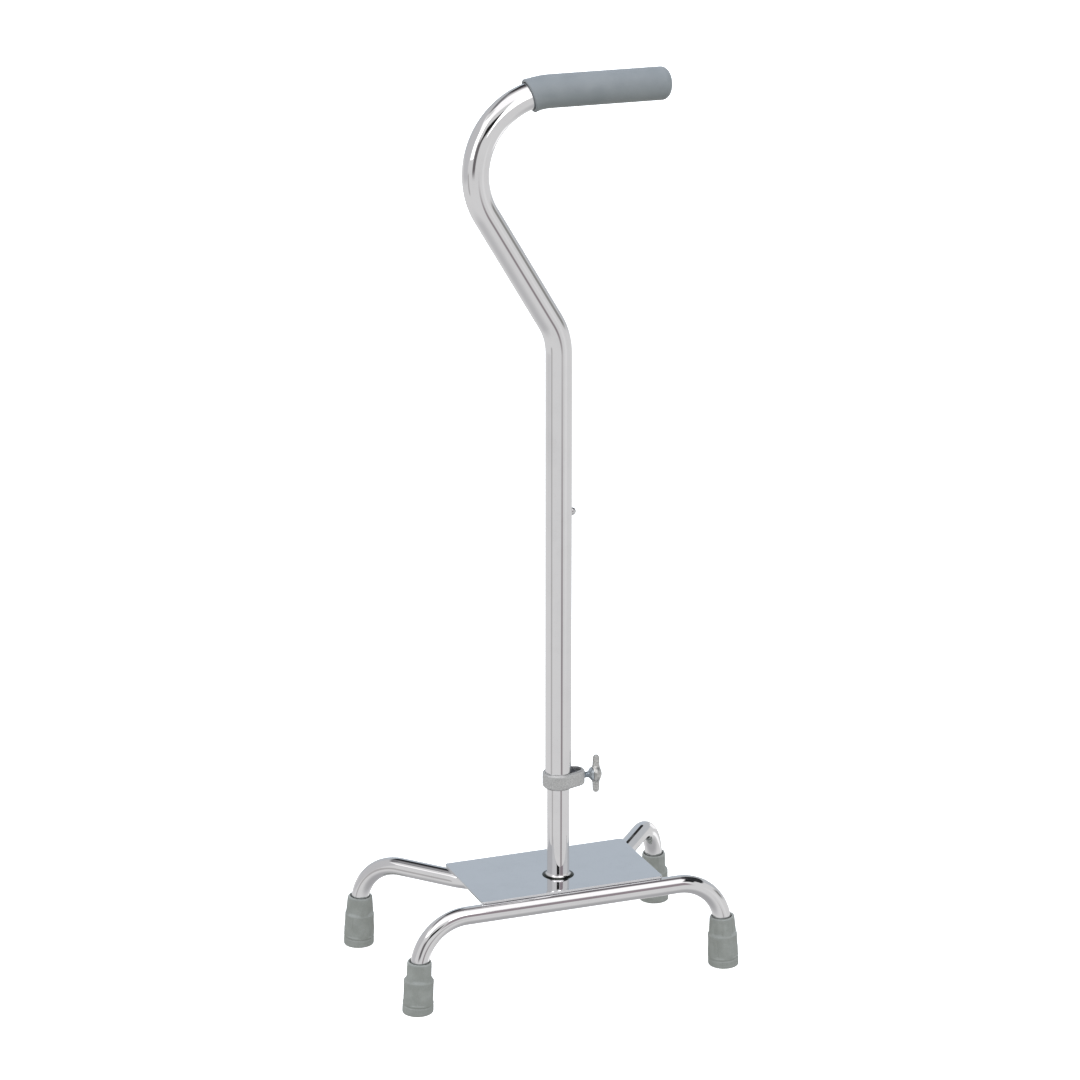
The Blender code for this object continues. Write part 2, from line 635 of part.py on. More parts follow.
# Clamp
def belt_outline(big, small, distance, points):
    """Two circles on the X axis, one at 0 and one at a distance, as a belt round them would run."""
    lean = math.asin((big - small) / distance)
    free = math.pi / 2 - lean
    outline = []
    for i in range(2 * points):
        turn = free + (2 * math.pi - 2 * free) * i / (2 * points - 1)
        outline.append((big * math.cos(turn), big * math.sin(turn)))
    for i in range(points):
        turn = -free + 2 * free * i / (points - 1)
        outline.append((distance + small * math.cos(turn), small * math.sin(turn)))
    return outline


def add_clamp_collar(shaft):
    """A loop round the upper tube's end. Its +X end stands off the tube and takes the screw."""
    outer = belt_outline(
        COLLAR_BORE + COLLAR_WALL, COLLAR_END_RADIUS, COLLAR_END_X - COLLAR_END_RADIUS, 12
    )
    pocket = COLLAR_END_RADIUS - COLLAR_END_WALL
    inner = belt_outline(COLLAR_BORE, pocket, COLLAR_END_X - COLLAR_END_RADIUS, 12)
    shape = bmesh.new()
    loops = []
    for outline in (outer, inner):
        points = [shape.verts.new((x, y, 0)) for x, y in outline]
        loops += [shape.edges.new(pair) for pair in zip(points, points[1:] + points[:1])]
    ring = bmesh.ops.bridge_loops(shape, edges=loops)["faces"]
    grown = bmesh.ops.extrude_face_region(shape, geom=ring)["geom"]
    moved = [item for item in grown if isinstance(item, bmesh.types.BMVert)]
    bmesh.ops.translate(shape, verts=moved, vec=(0, 0, COLLAR_HEIGHT))
    collar = add_object("clamp_collar", shape, zinc("clamp_collar"), shaft, (0, 0, COLLAR_BOTTOM))
    hole = bmesh.new()
    add_cylinder(hole, SCREW_RADIUS + TOUCH_GAP, UPPER_TUBE_RADIUS, COLLAR_END_X * 2, 16)
    cutter = add_cutter("screw_hole_cutter", hole, shaft, (0, 0, COLLAR_MIDDLE), AXIS_TO_X)
    boolean(collar, cutter)

    ring = [
        (LOWER_TUBE_RADIUS + TOUCH_GAP, BUSH_TOP - BUSH_HEIGHT),
        (UPPER_TUBE_RADIUS, BUSH_TOP - BUSH_HEIGHT),
        (UPPER_TUBE_RADIUS, BUSH_TOP),
        (LOWER_TUBE_RADIUS + TOUCH_GAP, BUSH_TOP),
    ]
    add_object("glide_bush", lathe(ring, TUBE_SIDES, closed=True), nylon("glide_bush"), shaft)


def add_clamp_screw():
    """The shoe that presses on the tube, the screw that pushes it and the cast wing knob."""
    clamp = add_empty("clamp_axis", (0, SHAFT_Y, COLLAR_MIDDLE), AXIS_TO_X)
    spread = math.asin(SHOE_HALF_WIDTH / COLLAR_BORE)
    outline = [
        (COLLAR_BORE * math.cos(turn), COLLAR_BORE * math.sin(turn))
        for turn in (spread * (i / 4 - 1) for i in range(9))
    ]
    outline += [
        (SHOE_BACK - SHOE_CHAMFER, SHOE_HALF_WIDTH),
        (SHOE_BACK, SHOE_HALF_WIDTH - SHOE_CHAMFER),
        (SHOE_BACK, SHOE_CHAMFER - SHOE_HALF_WIDTH),
        (SHOE_BACK - SHOE_CHAMFER, -SHOE_HALF_WIDTH),
    ]
    upright = (0, -math.pi / 2, 0)
    shoe_place = (SHOE_HEIGHT / 2, 0, 0)
    shoe = add_object(
        "clamp_shoe", prism(outline, SHOE_HEIGHT), zinc("clamp_shoe"), clamp, shoe_place, upright
    )
    seat = bmesh.new()
    add_cylinder(seat, SCREW_TIP_RADIUS + TOUCH_GAP, SHOE_BACK - SHOE_SEAT_DEPTH, SHOE_BACK * 2, 16)
    boolean(shoe, add_cutter("shoe_seat_cutter", seat, clamp))

    cone_start = COLLAR_END_X + NECK_LENGTH
    cone_end = cone_start + CONE_LENGTH
    hub_start = cone_end + TOUCH_GAP
    hub_end = hub_start + HUB_LENGTH
    screw_end = hub_end - HUB_FLOOR - TOUCH_GAP
    profile = [
        (0, SHOE_BACK - SHOE_SEAT_DEPTH + TOUCH_GAP),
        (SCREW_TIP_RADIUS, SHOE_BACK - SHOE_SEAT_DEPTH + TOUCH_GAP),
        (SCREW_TIP_RADIUS, SHOE_BACK + TOUCH_GAP),
        (SCREW_RADIUS, SHOE_BACK + TOUCH_GAP),
        (SCREW_RADIUS, cone_start),
        (CONE_RADIUS, cone_end - 0.0005),
        (CONE_RADIUS, cone_end),
        (SCREW_RADIUS, cone_end),
        (SCREW_RADIUS, screw_end),
        (0, screw_end),
    ]
    add_object("wing_screw", lathe(profile, SMALL_SIDES), chrome("wing_screw"), clamp)

    bore = SCREW_RADIUS + TOUCH_GAP
    hub = [
        (bore, hub_start),
        (HUB_RADIUS * HUB_BACK_SHARE, hub_start),
        (HUB_RADIUS, hub_start + HUB_LENGTH * HUB_SHOULDER),
    ]
    for i in range(1, 4):
        turn = HUB_DOME_STEP * i
        reach = HUB_LENGTH * (HUB_DOME_START + (1 - HUB_DOME_START) * math.sin(turn))
        hub.append((HUB_RADIUS * math.cos(turn) ** HUB_DOME_POWER, hub_start + reach))
    hub += [(0, hub_end), (0, hub_end - HUB_FLOOR), (bore, hub_end - HUB_FLOOR)]
    knob = add_object("wing_knob", lathe(hub, SMALL_SIDES, closed=True), zinc("wing_knob"), clamp)
    wing_middle = hub_start + HUB_LENGTH * WING_ALONG_HUB
    for side, sign in (("up", -1), ("down", 1)):
        wing = wing_shape(sign)
        place = (0, WING_THICKNESS / 2, wing_middle)
        cutter = add_cutter("wing_" + side, wing, clamp, place, (math.pi / 2, 0, 0))
        boolean(knob, cutter, "UNION")


def wing_shape(sign):
    """One wing: a flat tongue with a round end that runs out along X, to the given side."""
    half = WING_WIDTH / 2
    end_half = half * WING_END_SHARE
    start = SCREW_RADIUS + TOUCH_GAP + WING_START
    end = WING_SPAN / 2 - end_half
    outline = [(sign * start, -half), (sign * end, -end_half)]
    for i in range(1, 6):
        turn = -math.pi / 2 + math.pi * i / 6
        outline.append((sign * (end + end_half * math.cos(turn)), end_half * math.sin(turn)))
    outline += [(sign * end, end_half), (sign * start, half)]
    return prism(outline, WING_THICKNESS)


def main():
    for old in list(bpy.data.objects):
        bpy.data.objects.remove(old)
    add_feet()
    add_leg_tubes()
    add_base_plate()
    add_welds()
    add_lower_shaft()
    shaft = add_empty("shaft_axis", (0, SHAFT_Y, 0))
    add_upper_tube(shaft)
    add_grip(shaft)
    add_clamp_collar(shaft)
    add_clamp_screw()


main()
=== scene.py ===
"""Quad walking cane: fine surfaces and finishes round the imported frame.

Metres, +Z up, origin on the floor in the middle of the four feet. Every piece is a grid of points worked
out with numpy: a section carried along a route, or a radius that depends on height and turn.
"""

import math

import bmesh
import bpy
import numpy as np
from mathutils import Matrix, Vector


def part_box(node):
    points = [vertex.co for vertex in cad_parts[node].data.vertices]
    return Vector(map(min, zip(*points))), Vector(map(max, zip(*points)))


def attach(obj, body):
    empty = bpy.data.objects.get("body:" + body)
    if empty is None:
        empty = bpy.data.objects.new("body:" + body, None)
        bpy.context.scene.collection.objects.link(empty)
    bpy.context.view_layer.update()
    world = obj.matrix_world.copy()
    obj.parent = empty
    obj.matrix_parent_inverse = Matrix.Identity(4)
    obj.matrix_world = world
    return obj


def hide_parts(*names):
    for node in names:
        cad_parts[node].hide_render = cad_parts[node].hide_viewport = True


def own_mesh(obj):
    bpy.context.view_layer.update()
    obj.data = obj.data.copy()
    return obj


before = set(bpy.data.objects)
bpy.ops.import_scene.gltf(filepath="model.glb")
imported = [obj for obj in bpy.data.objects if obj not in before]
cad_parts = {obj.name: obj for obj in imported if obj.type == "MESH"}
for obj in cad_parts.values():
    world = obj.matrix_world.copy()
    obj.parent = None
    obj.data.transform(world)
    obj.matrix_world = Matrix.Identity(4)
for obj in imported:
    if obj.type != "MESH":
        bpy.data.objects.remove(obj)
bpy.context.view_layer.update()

# Sizes of the frame that the fine pieces repeat
SHAFT_Y = float((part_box("lower_tube")[0].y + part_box("lower_tube")[1].y) / 2)
POST_RADIUS, POST_BORE = 0.0095, 0.0083
TUBE_RADIUS, TUBE_BORE = 0.0111, 0.0099
TUBE_BOTTOM = float(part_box("upper_tube")[0].z)
STRAIGHT_RUN, SLANT_LENGTH, HANDLE_RUN = 0.3735, 0.1067, 0.0955
FIRST_BEND_RADIUS, FIRST_BEND_ANGLE = 0.0525, math.radians(30.9)
CROOK_RADIUS = 0.0641
HOLE_PITCH, LOWEST_HOLE, HOLE_COUNT, HOLE_RADIUS = 0.0254, 0.0597, 10, 0.0037
SLIT_LENGTH = 0.030
GRIP_WRAP = math.radians(17.0)
GRIP_RADIUS, GRIP_BORE = 0.0136, 0.0114
FOOT_X, FOOT_Y = 0.139, 0.0775
LEG_RADIUS, LEG_BORE = 0.00775, 0.00625
LEG_LEAN, LEG_START, LEG_STRAIGHT = math.radians(2.5), 0.0112, 0.0393
LEG_BEND_RADIUS, REAR_BEND_RADIUS = 0.042, 0.045
REAR_ARM_ANGLE, REAR_RUN_OFFSET = math.radians(50.0), 0.030
PLATE_LOW, PLATE_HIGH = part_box("base_plate")
WELD_BEAD_RADIUS = 0.0015
BUTTON_HEIGHT, BUTTON_RADIUS = 0.410, 0.0034
SCREW_HEIGHT = float((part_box("clamp_collar")[0].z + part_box("clamp_collar")[1].z) / 2)
SCREW_RADIUS, SCREW_PITCH = 0.0028, 0.001
COLLAR_BACK, COLLAR_BACK_BORE = 0.0134, 0.0114
COLLAR_END, COLLAR_END_BORE = 0.0085, 0.0055
KNOB_MIDDLE = 0.0036  # of the tongue, in front of the hub's back
RIM_EDGE = 0.00025  # bevel where a tube ends or is drilled


# Surfaces
def grid_faces(rows, columns, closed_rows=False):
    """Quads of a grid whose columns join up round the section. closed_rows joins its rows too."""
    i = np.arange(rows if closed_rows else rows - 1)[:, None]
    j = np.arange(columns)[None, :]
    here, after = i * columns, (i + 1) % rows * columns
    beside = (j + 1) % columns
    return np.stack([here + j, here + beside, after + beside, after + j], -1).reshape(-1, 4)


def make_piece(name, shapes, body, material, replaces=(), sharp=40.0):
    """A mesh of (points, faces) arrays: doubles merged, faces outwards, smooth up to sharp degrees."""
    shape = bmesh.new()
    for points, faces in shapes:
        part = bpy.data.meshes.new(name)
        part.from_pydata(points.reshape(-1, 3).tolist(), [], faces.tolist())
        shape.from_mesh(part)
        bpy.data.meshes.remove(part)
    bmesh.ops.remove_doubles(shape, verts=shape.verts[:], dist=1e-6)
    bmesh.ops.recalc_face_normals(shape, faces=shape.faces[:])
    if shape.calc_volume(signed=True) < 0:
        bmesh.ops.reverse_faces(shape, faces=shape.faces[:])
    mesh = bpy.data.meshes.new(name)
    shape.to_mesh(mesh)
    shape.free()
    mesh.shade_smooth()
    mesh.set_sharp_from_angle(angle=math.radians(sharp))
    mesh.materials.append(material)
    piece = bpy.data.objects.new(name, mesh)
    bpy.context.scene.collection.objects.link(piece)
    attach(piece, body)
    if replaces:
        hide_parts(*replaces)
    return piece


def turned_about(axis, angle, vectors):
    """Vectors turned by an array of angles: what lies along the axis stays, the rest swings round."""
    axis = np.asarray(axis, float)
    along = (vectors @ axis)[..., None] * axis
    flat = vectors - along
    swing = np.cross(axis, flat)
    angle = np.asarray(angle)[:, None, None]
    return along + flat * np.cos(angle) + swing * np.sin(angle)


class Route:
    """A centre line of straight runs and arcs. Its frame (heading, side, other side) turns with the arcs."""

    def __init__(self, start, heading, side):
        heading = np.asarray(heading, float) / np.linalg.norm(heading)
        side = np.asarray(side, float) - np.dot(side, heading) * heading
        side /= np.linalg.norm(side)
        self.place = np.asarray(start, float)
        self.frame = np.array([heading, side, np.cross(heading, side)])
        self.runs = []
        self.length = 0.0

    def straight(self, length):
        self.runs.append((self.length, length, self.place, self.frame, None, None))
        self.length += length
        self.place = self.place + self.frame[0] * length

    def arc(self, radius, angle, towards):
        towards = np.asarray(towards, float)
        towards = towards - towards @ self.frame[0] * self.frame[0]
        towards /= np.linalg.norm(towards)
        centre = self.place + towards * radius
        axis = np.cross(self.frame[0], towards)
        self.runs.append((self.length, radius * angle, self.place, self.frame, centre, axis))
        self.length += radius * angle
        angle = np.array([angle])
        self.place = centre + turned_about(axis, angle, (self.place - centre)[None])[0, 0]
        self.frame = turned_about(axis, angle, self.frame)[0]

    def at(self, stations):
        """Points and frames at arc lengths: along a straight run, or swung by length over radius."""
        stations = np.asarray(stations, float)
        points = np.zeros((len(stations), 3))
        frames = np.zeros((len(stations), 3, 3))
        for start, _, place, run_frame, centre, axis in self.runs:
            on = stations >= start - 1e-9
            if centre is None:
                points[on] = place + (stations[on] - start)[:, None] * run_frame[0]
                frames[on] = run_frame
            else:
                turn = (stations[on] - start) / np.linalg.norm(place - centre)
                points[on] = centre + turned_about(axis, turn, (place - centre)[None])[:, 0]
                frames[on] = turned_about(axis, turn, run_frame)
        return points, frames

    def stations(self, straight_step, arc_step, margin=0.0015):
        """Arc lengths for rows: long steps on straight runs, short on arcs, one close to each join."""
        rows = [0.0, self.length]
        for start, length, _, _, centre, _ in self.runs:
            count = max(1, round(length / (straight_step if centre is None else arc_step)))
            rows += list(start + length * np.arange(count + 1) / count)
            rows += [start + margin, start + length - margin]
        rows = np.unique(np.round(rows, 7))
        return rows[(rows >= 0) & (rows <= self.length)]


def carried(route, stations, radii, sides):
    """A round section carried along a route: row k is a circle of radii[k] at arc length stations[k]."""
    points, frames = route.at(stations)
    turn = 2 * np.pi * np.arange(sides) / sides
    side, other = frames[:, None, 1], frames[:, None, 2]
    ring = np.cos(turn)[None, :, None] * side + np.sin(turn)[None, :, None] * other
    radii = np.asarray(radii, float)
    radii = radii[:, None] if radii.ndim == 1 else radii
    return points[:, None] + radii[..., None] * ring


def wall_rows(stations, outer, bore):
    """Stations and radii round a tube's wall: out along it, back along the bore, with bevelled rims."""
    outside = stations.copy()
    outside[[0, -1]] += [RIM_EDGE, -RIM_EDGE]
    first, last = stations[0], stations[-1]
    rows = np.concatenate([outside, [last, last], outside[::-1], [first, first]])
    rims = [outer - RIM_EDGE, bore + RIM_EDGE]
    along = np.ones(len(stations))
    radii = np.concatenate([along * outer, rims, along * bore, rims[::-1]])
    return rows, radii


def tube(route, stations, outer, bore, sides):
    """A walled tube along a route."""
    rows, radii = wall_rows(stations, outer, bore)
    points = carried(route, rows, radii, sides)
    return points, grid_faces(len(rows), sides, closed_rows=True)


def spun(profile, sides, origin=(0, 0, 0), axis=(0, 0, 1), side=(1, 0, 0), closed=False):
    """A profile of (radius, height) rows spun round an axis."""
    profile = np.asarray(profile, float)
    route = Route(origin, axis, side)
    route.straight(1.0)
    points, frames = route.at(np.zeros(len(profile)))
    points = points + profile[:, 1:2] * frames[:, 0]
    turn = 2 * np.pi * np.arange(sides)[None, :, None] / sides
    ring = np.cos(turn) * frames[:, None, 1] + np.sin(turn) * frames[:, None, 2]
    return points[:, None] + profile[:, None, 0:1] * ring, grid_faces(len(profile), sides, closed)


def smooth_step(low, high, values):
    """0 up to low, 1 past high, and an S-curve between them."""
    t = np.clip((values - low) / (high - low), 0, 1)
    return t * t * (3 - 2 * t)


def soft_smaller(a, b, softness):
    """The smaller of two fields, with the crease between them rounded over softness."""
    h = np.clip(0.5 + 0.5 * (b - a) / softness, 0, 1)
    return b + (a - b) * h - softness * h * (1 - h)


def edge_arc(radius, centre, steps, start, end):
    """Points of an arc in a profile, from start to end degrees."""
    turn = np.radians(np.linspace(start, end, steps))
    return list(zip(centre[0] + radius * np.cos(turn), centre[1] + radius * np.sin(turn)))


# Finishes
class Value:
    """A number on its way through a node tree. Arithmetic on it adds Math nodes."""

    def __init__(self, nodes, socket):
        self.nodes = nodes
        self.socket = socket

    def math(self, operation, *others):
        values = dict(enumerate([self, *others]))
        return self.nodes.add("ShaderNodeMath", values, operation=operation)

    def __add__(self, other):
        return self.math("ADD", other)

    def __mul__(self, other):
        return self.math("MULTIPLY", other)

    __radd__ = __add__
    __rmul__ = __mul__

    def step(self, low, high):
        """0 below low, 1 past high, an S-curve between; low may be the greater."""
        sockets = {"Value": self, "From Min": low, "From Max": high}
        return self.nodes.add("ShaderNodeMapRange", sockets, interpolation_type="SMOOTHSTEP")

    def span(self, low, high):
        """A value of 0 to 1 taken to low to high."""
        return self * (high - low) + low


class Nodes:
    """The node tree of a material or a world."""

    def __init__(self, owner):
        owner.use_nodes = True
        self.tree = owner.node_tree
        self.tree.nodes.clear()

    def add(self, kind, sockets=None, output=0, **settings):
        """Any node: its settings first, then its sockets from numbers, colours or links."""
        node = self.tree.nodes.new(kind)
        for name, value in settings.items():
            setattr(node, name, value)
        for key, value in (sockets or {}).items():
            if isinstance(value, Value):
                self.tree.links.new(value.socket, node.inputs[key])
            else:
                node.inputs[key].default_value = value
        return Value(self, node.outputs[output]) if node.outputs else None

    def place(self, stretch=(1, 1, 1)):
        """Object coordinates, stretched."""
        here = self.add("ShaderNodeTexCoord", output="Object")
        return self.add("ShaderNodeMapping", {"Vector": here, "Scale": stretch})

    def height(self):
        return self.add("ShaderNodeSeparateXYZ", {0: self.place()}, output="Z")

    def noise(self, scale, detail=3.0, roughness=0.5, stretch=(1, 1, 1)):
        pattern = {"Scale": scale, "Detail": detail, "Roughness": roughness}
        return self.add("ShaderNodeTexNoise", {"Vector": self.place(stretch), **pattern})

    def mix(self, factor, first, second):
        """A colour between two colours."""
        first, second = (c if isinstance(c, Value) else (*c, 1.0) for c in (first, second))
        return self.add("ShaderNodeMix", {0: factor, 6: first, 7: second}, output=2, data_type="RGBA")

    def bump(self, height, distance, strength=1.0, normal=None):
        sockets = {"Height": height, "Distance": distance, "Strength": strength}
        if normal:
            sockets["Normal"] = normal
        return self.add("ShaderNodeBump", sockets)

    def surface(self, **sockets):
        """The finished shader. Underscores in socket names stand for spaces."""
        sockets = {name.replace("_", " "): value for name, value in sockets.items()}
        shader = self.add("ShaderNodeBsdfPrincipled", sockets)
        self.add("ShaderNodeOutputMaterial", {"Surface": shader})


def new_finish(name):
    material = bpy.data.materials.new(name)
    return material, Nodes(material)


def shaded(colour, share):
    """A colour made darker or lighter, and no brighter than white."""
    return tuple(min(1.0, c * share) for c in colour)


def chrome_finish(name, colour, haze):
    """Bright plating: near-mirror, with faint smudges, fine hairlines and the ripple of polished tube."""
    material, nodes = new_finish(name)
    cloud = nodes.noise(38.0, 4.0, 0.6).step(0.42, 0.72)
    hairs = nodes.noise(900.0, 2.0, 0.5, stretch=(1.0, 1.0, 0.03)).step(0.66, 0.74)
    specks = nodes.noise(2600.0, 1.0).step(0.74, 0.80)
    tint = nodes.mix(cloud * 0.5, colour, shaded(colour, 0.93))
    tint = nodes.mix(specks * 0.25, tint, (0.32, 0.31, 0.30))
    ripple = nodes.noise(55.0, 1.0)
    normal = nodes.bump(ripple, 0.00006, 0.35)
    normal = nodes.bump(hairs, 0.000004, 0.25, normal)
    roughness = cloud * 0.05 + hairs * 0.05 + haze
    nodes.surface(Base_Color=tint, Metallic=1.0, Roughness=roughness, Normal=normal)
    return material


def weld_finish():
    """Plated weld: bright against the post, with painted shade and dark reflection near-black towards its
    foot in the crease against the plate, the same all the way round.
    """
    material, nodes = new_finish("weld_chrome")
    # mask of the weld's foot by the plate: where painted shade and dark reflection go, and where it is
    # rougher
    crease_shade = nodes.height().step(PLATE_HIGH.z + 0.0017, PLATE_HIGH.z + 0.0007)
    ripple = nodes.noise(420.0, 2.0)
    # the near-black colour is painted shade and dark reflection in the crease, not the plating's own colour
    tint = nodes.mix(crease_shade, (0.86, 0.855, 0.865), (0.035, 0.04, 0.035))
    normal = nodes.bump(ripple, 0.00008, 0.5)
    nodes.surface(Base_Color=tint, Metallic=1.0, Roughness=crease_shade.span(0.05, 0.22), Normal=normal)
    return material


def cast_finish(name, colour, roughness, grain_scale, grain_depth, metallic=0.85):
    """Die-cast zinc: a fine sandy skin with darker hollows and edges that hands have brightened."""
    material, nodes = new_finish(name)
    grain = nodes.noise(grain_scale, 3.0, 0.65)
    blotch = nodes.noise(150.0, 3.0, 0.6)
    worn = nodes.add("ShaderNodeNewGeometry", output="Pointiness").step(0.50, 0.56)
    tint = nodes.mix(grain.step(0.30, 0.70), shaded(colour, 0.72), shaded(colour, 1.18))
    tint = nodes.mix(blotch.step(0.45, 0.75) * 0.35, tint, shaded(colour, 0.85))
    tint = nodes.mix(worn * 0.3, tint, shaded(colour, 1.35))
    rough = grain.span(roughness - 0.08, roughness + 0.08)
    normal = nodes.bump(grain, grain_depth, 0.8)
    nodes.surface(Base_Color=tint, Metallic=metallic, Roughness=rough, Normal=normal)
    return material


def zinc_plate_finish(name, colour, roughness):
    """Bright zinc plating on turned steel: cool and even, with fine turning marks and dull patches."""
    material, nodes = new_finish(name)
    patches = nodes.noise(260.0, 3.0).step(0.40, 0.70)
    marks = nodes.noise(1800.0, 2.0, stretch=(1.0, 0.15, 0.15))
    tint = nodes.mix(patches, colour, shaded(colour, 0.8))
    rough = patches.span(roughness, roughness + 0.15)
    normal = nodes.bump(marks, 0.00002, 0.5)
    nodes.surface(Base_Color=tint, Metallic=1.0, Roughness=rough, Normal=normal)
    return material


def rubber_finish():
    """Moulded grey rubber: matte, with a fine grain, a paler bloom, and scuffs near the floor."""
    material, nodes = new_finish("tip_rubber")
    bloom = nodes.noise(95.0, 5.0, 0.65).step(0.35, 0.75)
    grain = nodes.noise(1700.0, 2.0, 0.6)
    scuffs = nodes.noise(420.0, 4.0, 0.7, stretch=(1.0, 1.0, 3.0)).step(0.56, 0.68)
    low_down = nodes.height().step(0.012, 0.001)
    tint = nodes.mix(bloom, (0.225, 0.232, 0.218), (0.275, 0.282, 0.268))
    tint = nodes.mix(scuffs * low_down * 0.6, tint, (0.16, 0.165, 0.16))
    tint = nodes.mix(grain.step(0.35, 0.75) * 0.2, tint, (0.36, 0.375, 0.365))
    normal = nodes.bump(grain, 0.00006, 0.6)
    normal = nodes.bump(scuffs * low_down, 0.00015, 0.5, normal)
    rough = bloom.span(0.62, 0.80)
    nodes.surface(Base_Color=tint, Roughness=rough, Normal=normal, Specular_IOR_Level=0.35)
    return material


def vinyl_finish():
    """Dipped vinyl: a satin blue-grey skin with a faint pebble, slow clouds of tone and pale streaks."""
    material, nodes = new_finish("grip_vinyl")
    pebble = nodes.noise(1300.0, 2.0, 0.5)
    cloud = nodes.noise(42.0, 4.0, 0.55)
    streak = nodes.noise(70.0, 3.0, 0.5, stretch=(0.15, 1.0, 1.0))
    tint = nodes.mix(cloud.step(0.30, 0.70), (0.185, 0.202, 0.216), (0.212, 0.228, 0.241))
    tint = nodes.mix(streak.step(0.50, 0.75) * 0.3, tint, (0.27, 0.28, 0.29))
    normal = nodes.bump(pebble, 0.00005, 0.45)
    rough = cloud.span(0.34, 0.46)
    nodes.surface(Base_Color=tint, Roughness=rough, Normal=normal, Specular_IOR_Level=0.45)
    return material


def nylon_finish():
    """Milky grey nylon, slightly glossy, with flow marks from moulding."""
    material, nodes = new_finish("nylon")
    flow = nodes.noise(180.0, 4.0, 0.6, stretch=(1.0, 1.0, 0.3))
    tint = nodes.mix(flow.step(0.35, 0.70), (0.50, 0.50, 0.48), (0.60, 0.60, 0.57))
    normal = nodes.bump(flow, 0.00004, 0.5)
    nodes.surface(Base_Color=tint, Roughness=flow.span(0.38, 0.55), Normal=normal)
    return material


weld_chrome = weld_finish()
tube_chrome = chrome_finish("tube_chrome", (0.86, 0.855, 0.865), 0.03)
plate_chrome = chrome_finish("plate_chrome", (0.80, 0.81, 0.83), 0.035)
button_steel = chrome_finish("button_steel", (0.70, 0.70, 0.71), 0.10)
collar_zinc = cast_finish("collar_zinc", (0.58, 0.58, 0.575), 0.50, 1300.0, 0.00016)
knob_zinc = cast_finish("knob_zinc", (0.60, 0.60, 0.585), 0.38, 700.0, 0.00005, 0.95)
plated_steel = zinc_plate_finish("plated_steel", (0.56, 0.61, 0.65), 0.24)
washer_steel = zinc_plate_finish("washer_steel", (0.52, 0.53, 0.54), 0.30)
spring_steel = zinc_plate_finish("spring_steel", (0.36, 0.36, 0.38), 0.28)
shoe_steel = zinc_plate_finish("shoe_steel", (0.09, 0.09, 0.10), 0.40)
tip_rubber = rubber_finish()
grip_vinyl = vinyl_finish()
nylon = nylon_finish()


# Shaft
TUBE_SIDES = 96
HOLE_BLOCK = 0.0055  # half the height of the quads left out round a hole


def handle_route():
    """The handle tube's centre line: up, leaning back, then round the crook and along the handle."""
    route = Route((0, SHAFT_Y, TUBE_BOTTOM), (0, 0, 1), (1, 0, 0))
    route.straight(STRAIGHT_RUN)
    route.arc(FIRST_BEND_RADIUS, FIRST_BEND_ANGLE, (-1, 0, 0))
    route.straight(SLANT_LENGTH)
    route.arc(CROOK_RADIUS, math.pi / 2 + FIRST_BEND_ANGLE, (1, 0, 0))
    route.straight(HANDLE_RUN)
    return route


def block_loop(rows, columns, grid):
    """Points round a block of a grid: along its first row, up its last column, and back."""
    (a, b), (c, d) = rows, columns
    step = 1 if b > a else -1
    path = [(a, j) for j in range(c, d)] + [(i, d) for i in range(a, b, step)]
    path += [(b, j) for j in range(d, c, -1)] + [(i, c) for i in range(b, a, -step)]
    i, j = np.array(path).T
    return grid[i, j % grid.shape[1]]


def hole_between(outside, inside, centre_z, radius, walls, rings=4):
    """A round hole through a wall, as loops from the outline of a gap outside to that of one inside.

    Each loop slides from the outline to the hole's circle, and its depth follows the wall's own circle:
    the wall's middle plus the root of its radius squared less y squared.
    """

    def on_wall(flat, wall):
        middle, wall_radius = wall
        depth = middle + np.sqrt(wall_radius**2 - flat[:, 0] ** 2)
        return np.column_stack([depth, flat[:, 0] + SHAFT_Y, flat[:, 1] + centre_z])

    loops = []
    for outline, wall, sink in ((outside, walls[0], -RIM_EDGE), (inside, walls[1], RIM_EDGE)):
        flat = outline[:, 1:] - (SHAFT_Y, centre_z)
        ring = flat / np.linalg.norm(flat, axis=1)[:, None]
        slide = ring * (radius + RIM_EDGE) - flat
        side = [on_wall(flat + slide * t, wall) for t in np.linspace(0, 1, rings + 1)]
        side.append(on_wall(ring * radius, wall) + (sink, 0, 0))
        loops.append(side)
    points = np.array(loops[0] + loops[1][::-1])
    return points, grid_faces(len(points), points.shape[1])


def drilled_tube(route, stations, holes, bottom, outer, bore, half_columns):
    """A walled tube up from bottom, with a round hole on its +X side at each of a list of heights.

    Blocks of quads are left out at each hole, outside and inside, and the hole's loops join the gaps.
    Gives the grid, the quads to keep, the row of the bore at the tube's foot, and the holes' shapes.
    """
    rows, radii = wall_rows(stations, outer, bore)
    grid = carried(route, rows, radii, TUBE_SIDES)
    bore_foot = 2 * len(stations) + 1
    keep = np.ones((len(rows), TUBE_SIDES), bool)
    columns = (-half_columns, half_columns)
    block = np.arange(*columns) % TUBE_SIDES
    walls = ((0.0, outer), (0.0, bore))
    shapes = []
    for hole in holes:
        a, b = (int(np.argmin(abs(stations - hole - side * HOLE_BLOCK))) for side in (-1, 1))
        keep[a:b, block] = False
        keep[bore_foot - b : bore_foot - a, block] = False
        outside = block_loop((a, b), columns, grid)
        inside = block_loop((bore_foot - a, bore_foot - b), columns, grid)
        shapes.append(hole_between(outside, inside, bottom + hole, HOLE_RADIUS, walls))
    return grid, keep, bore_foot, shapes


def kept_wall(grid, keep):
    return grid, grid_faces(*keep.shape, closed_rows=True)[keep.ravel()]


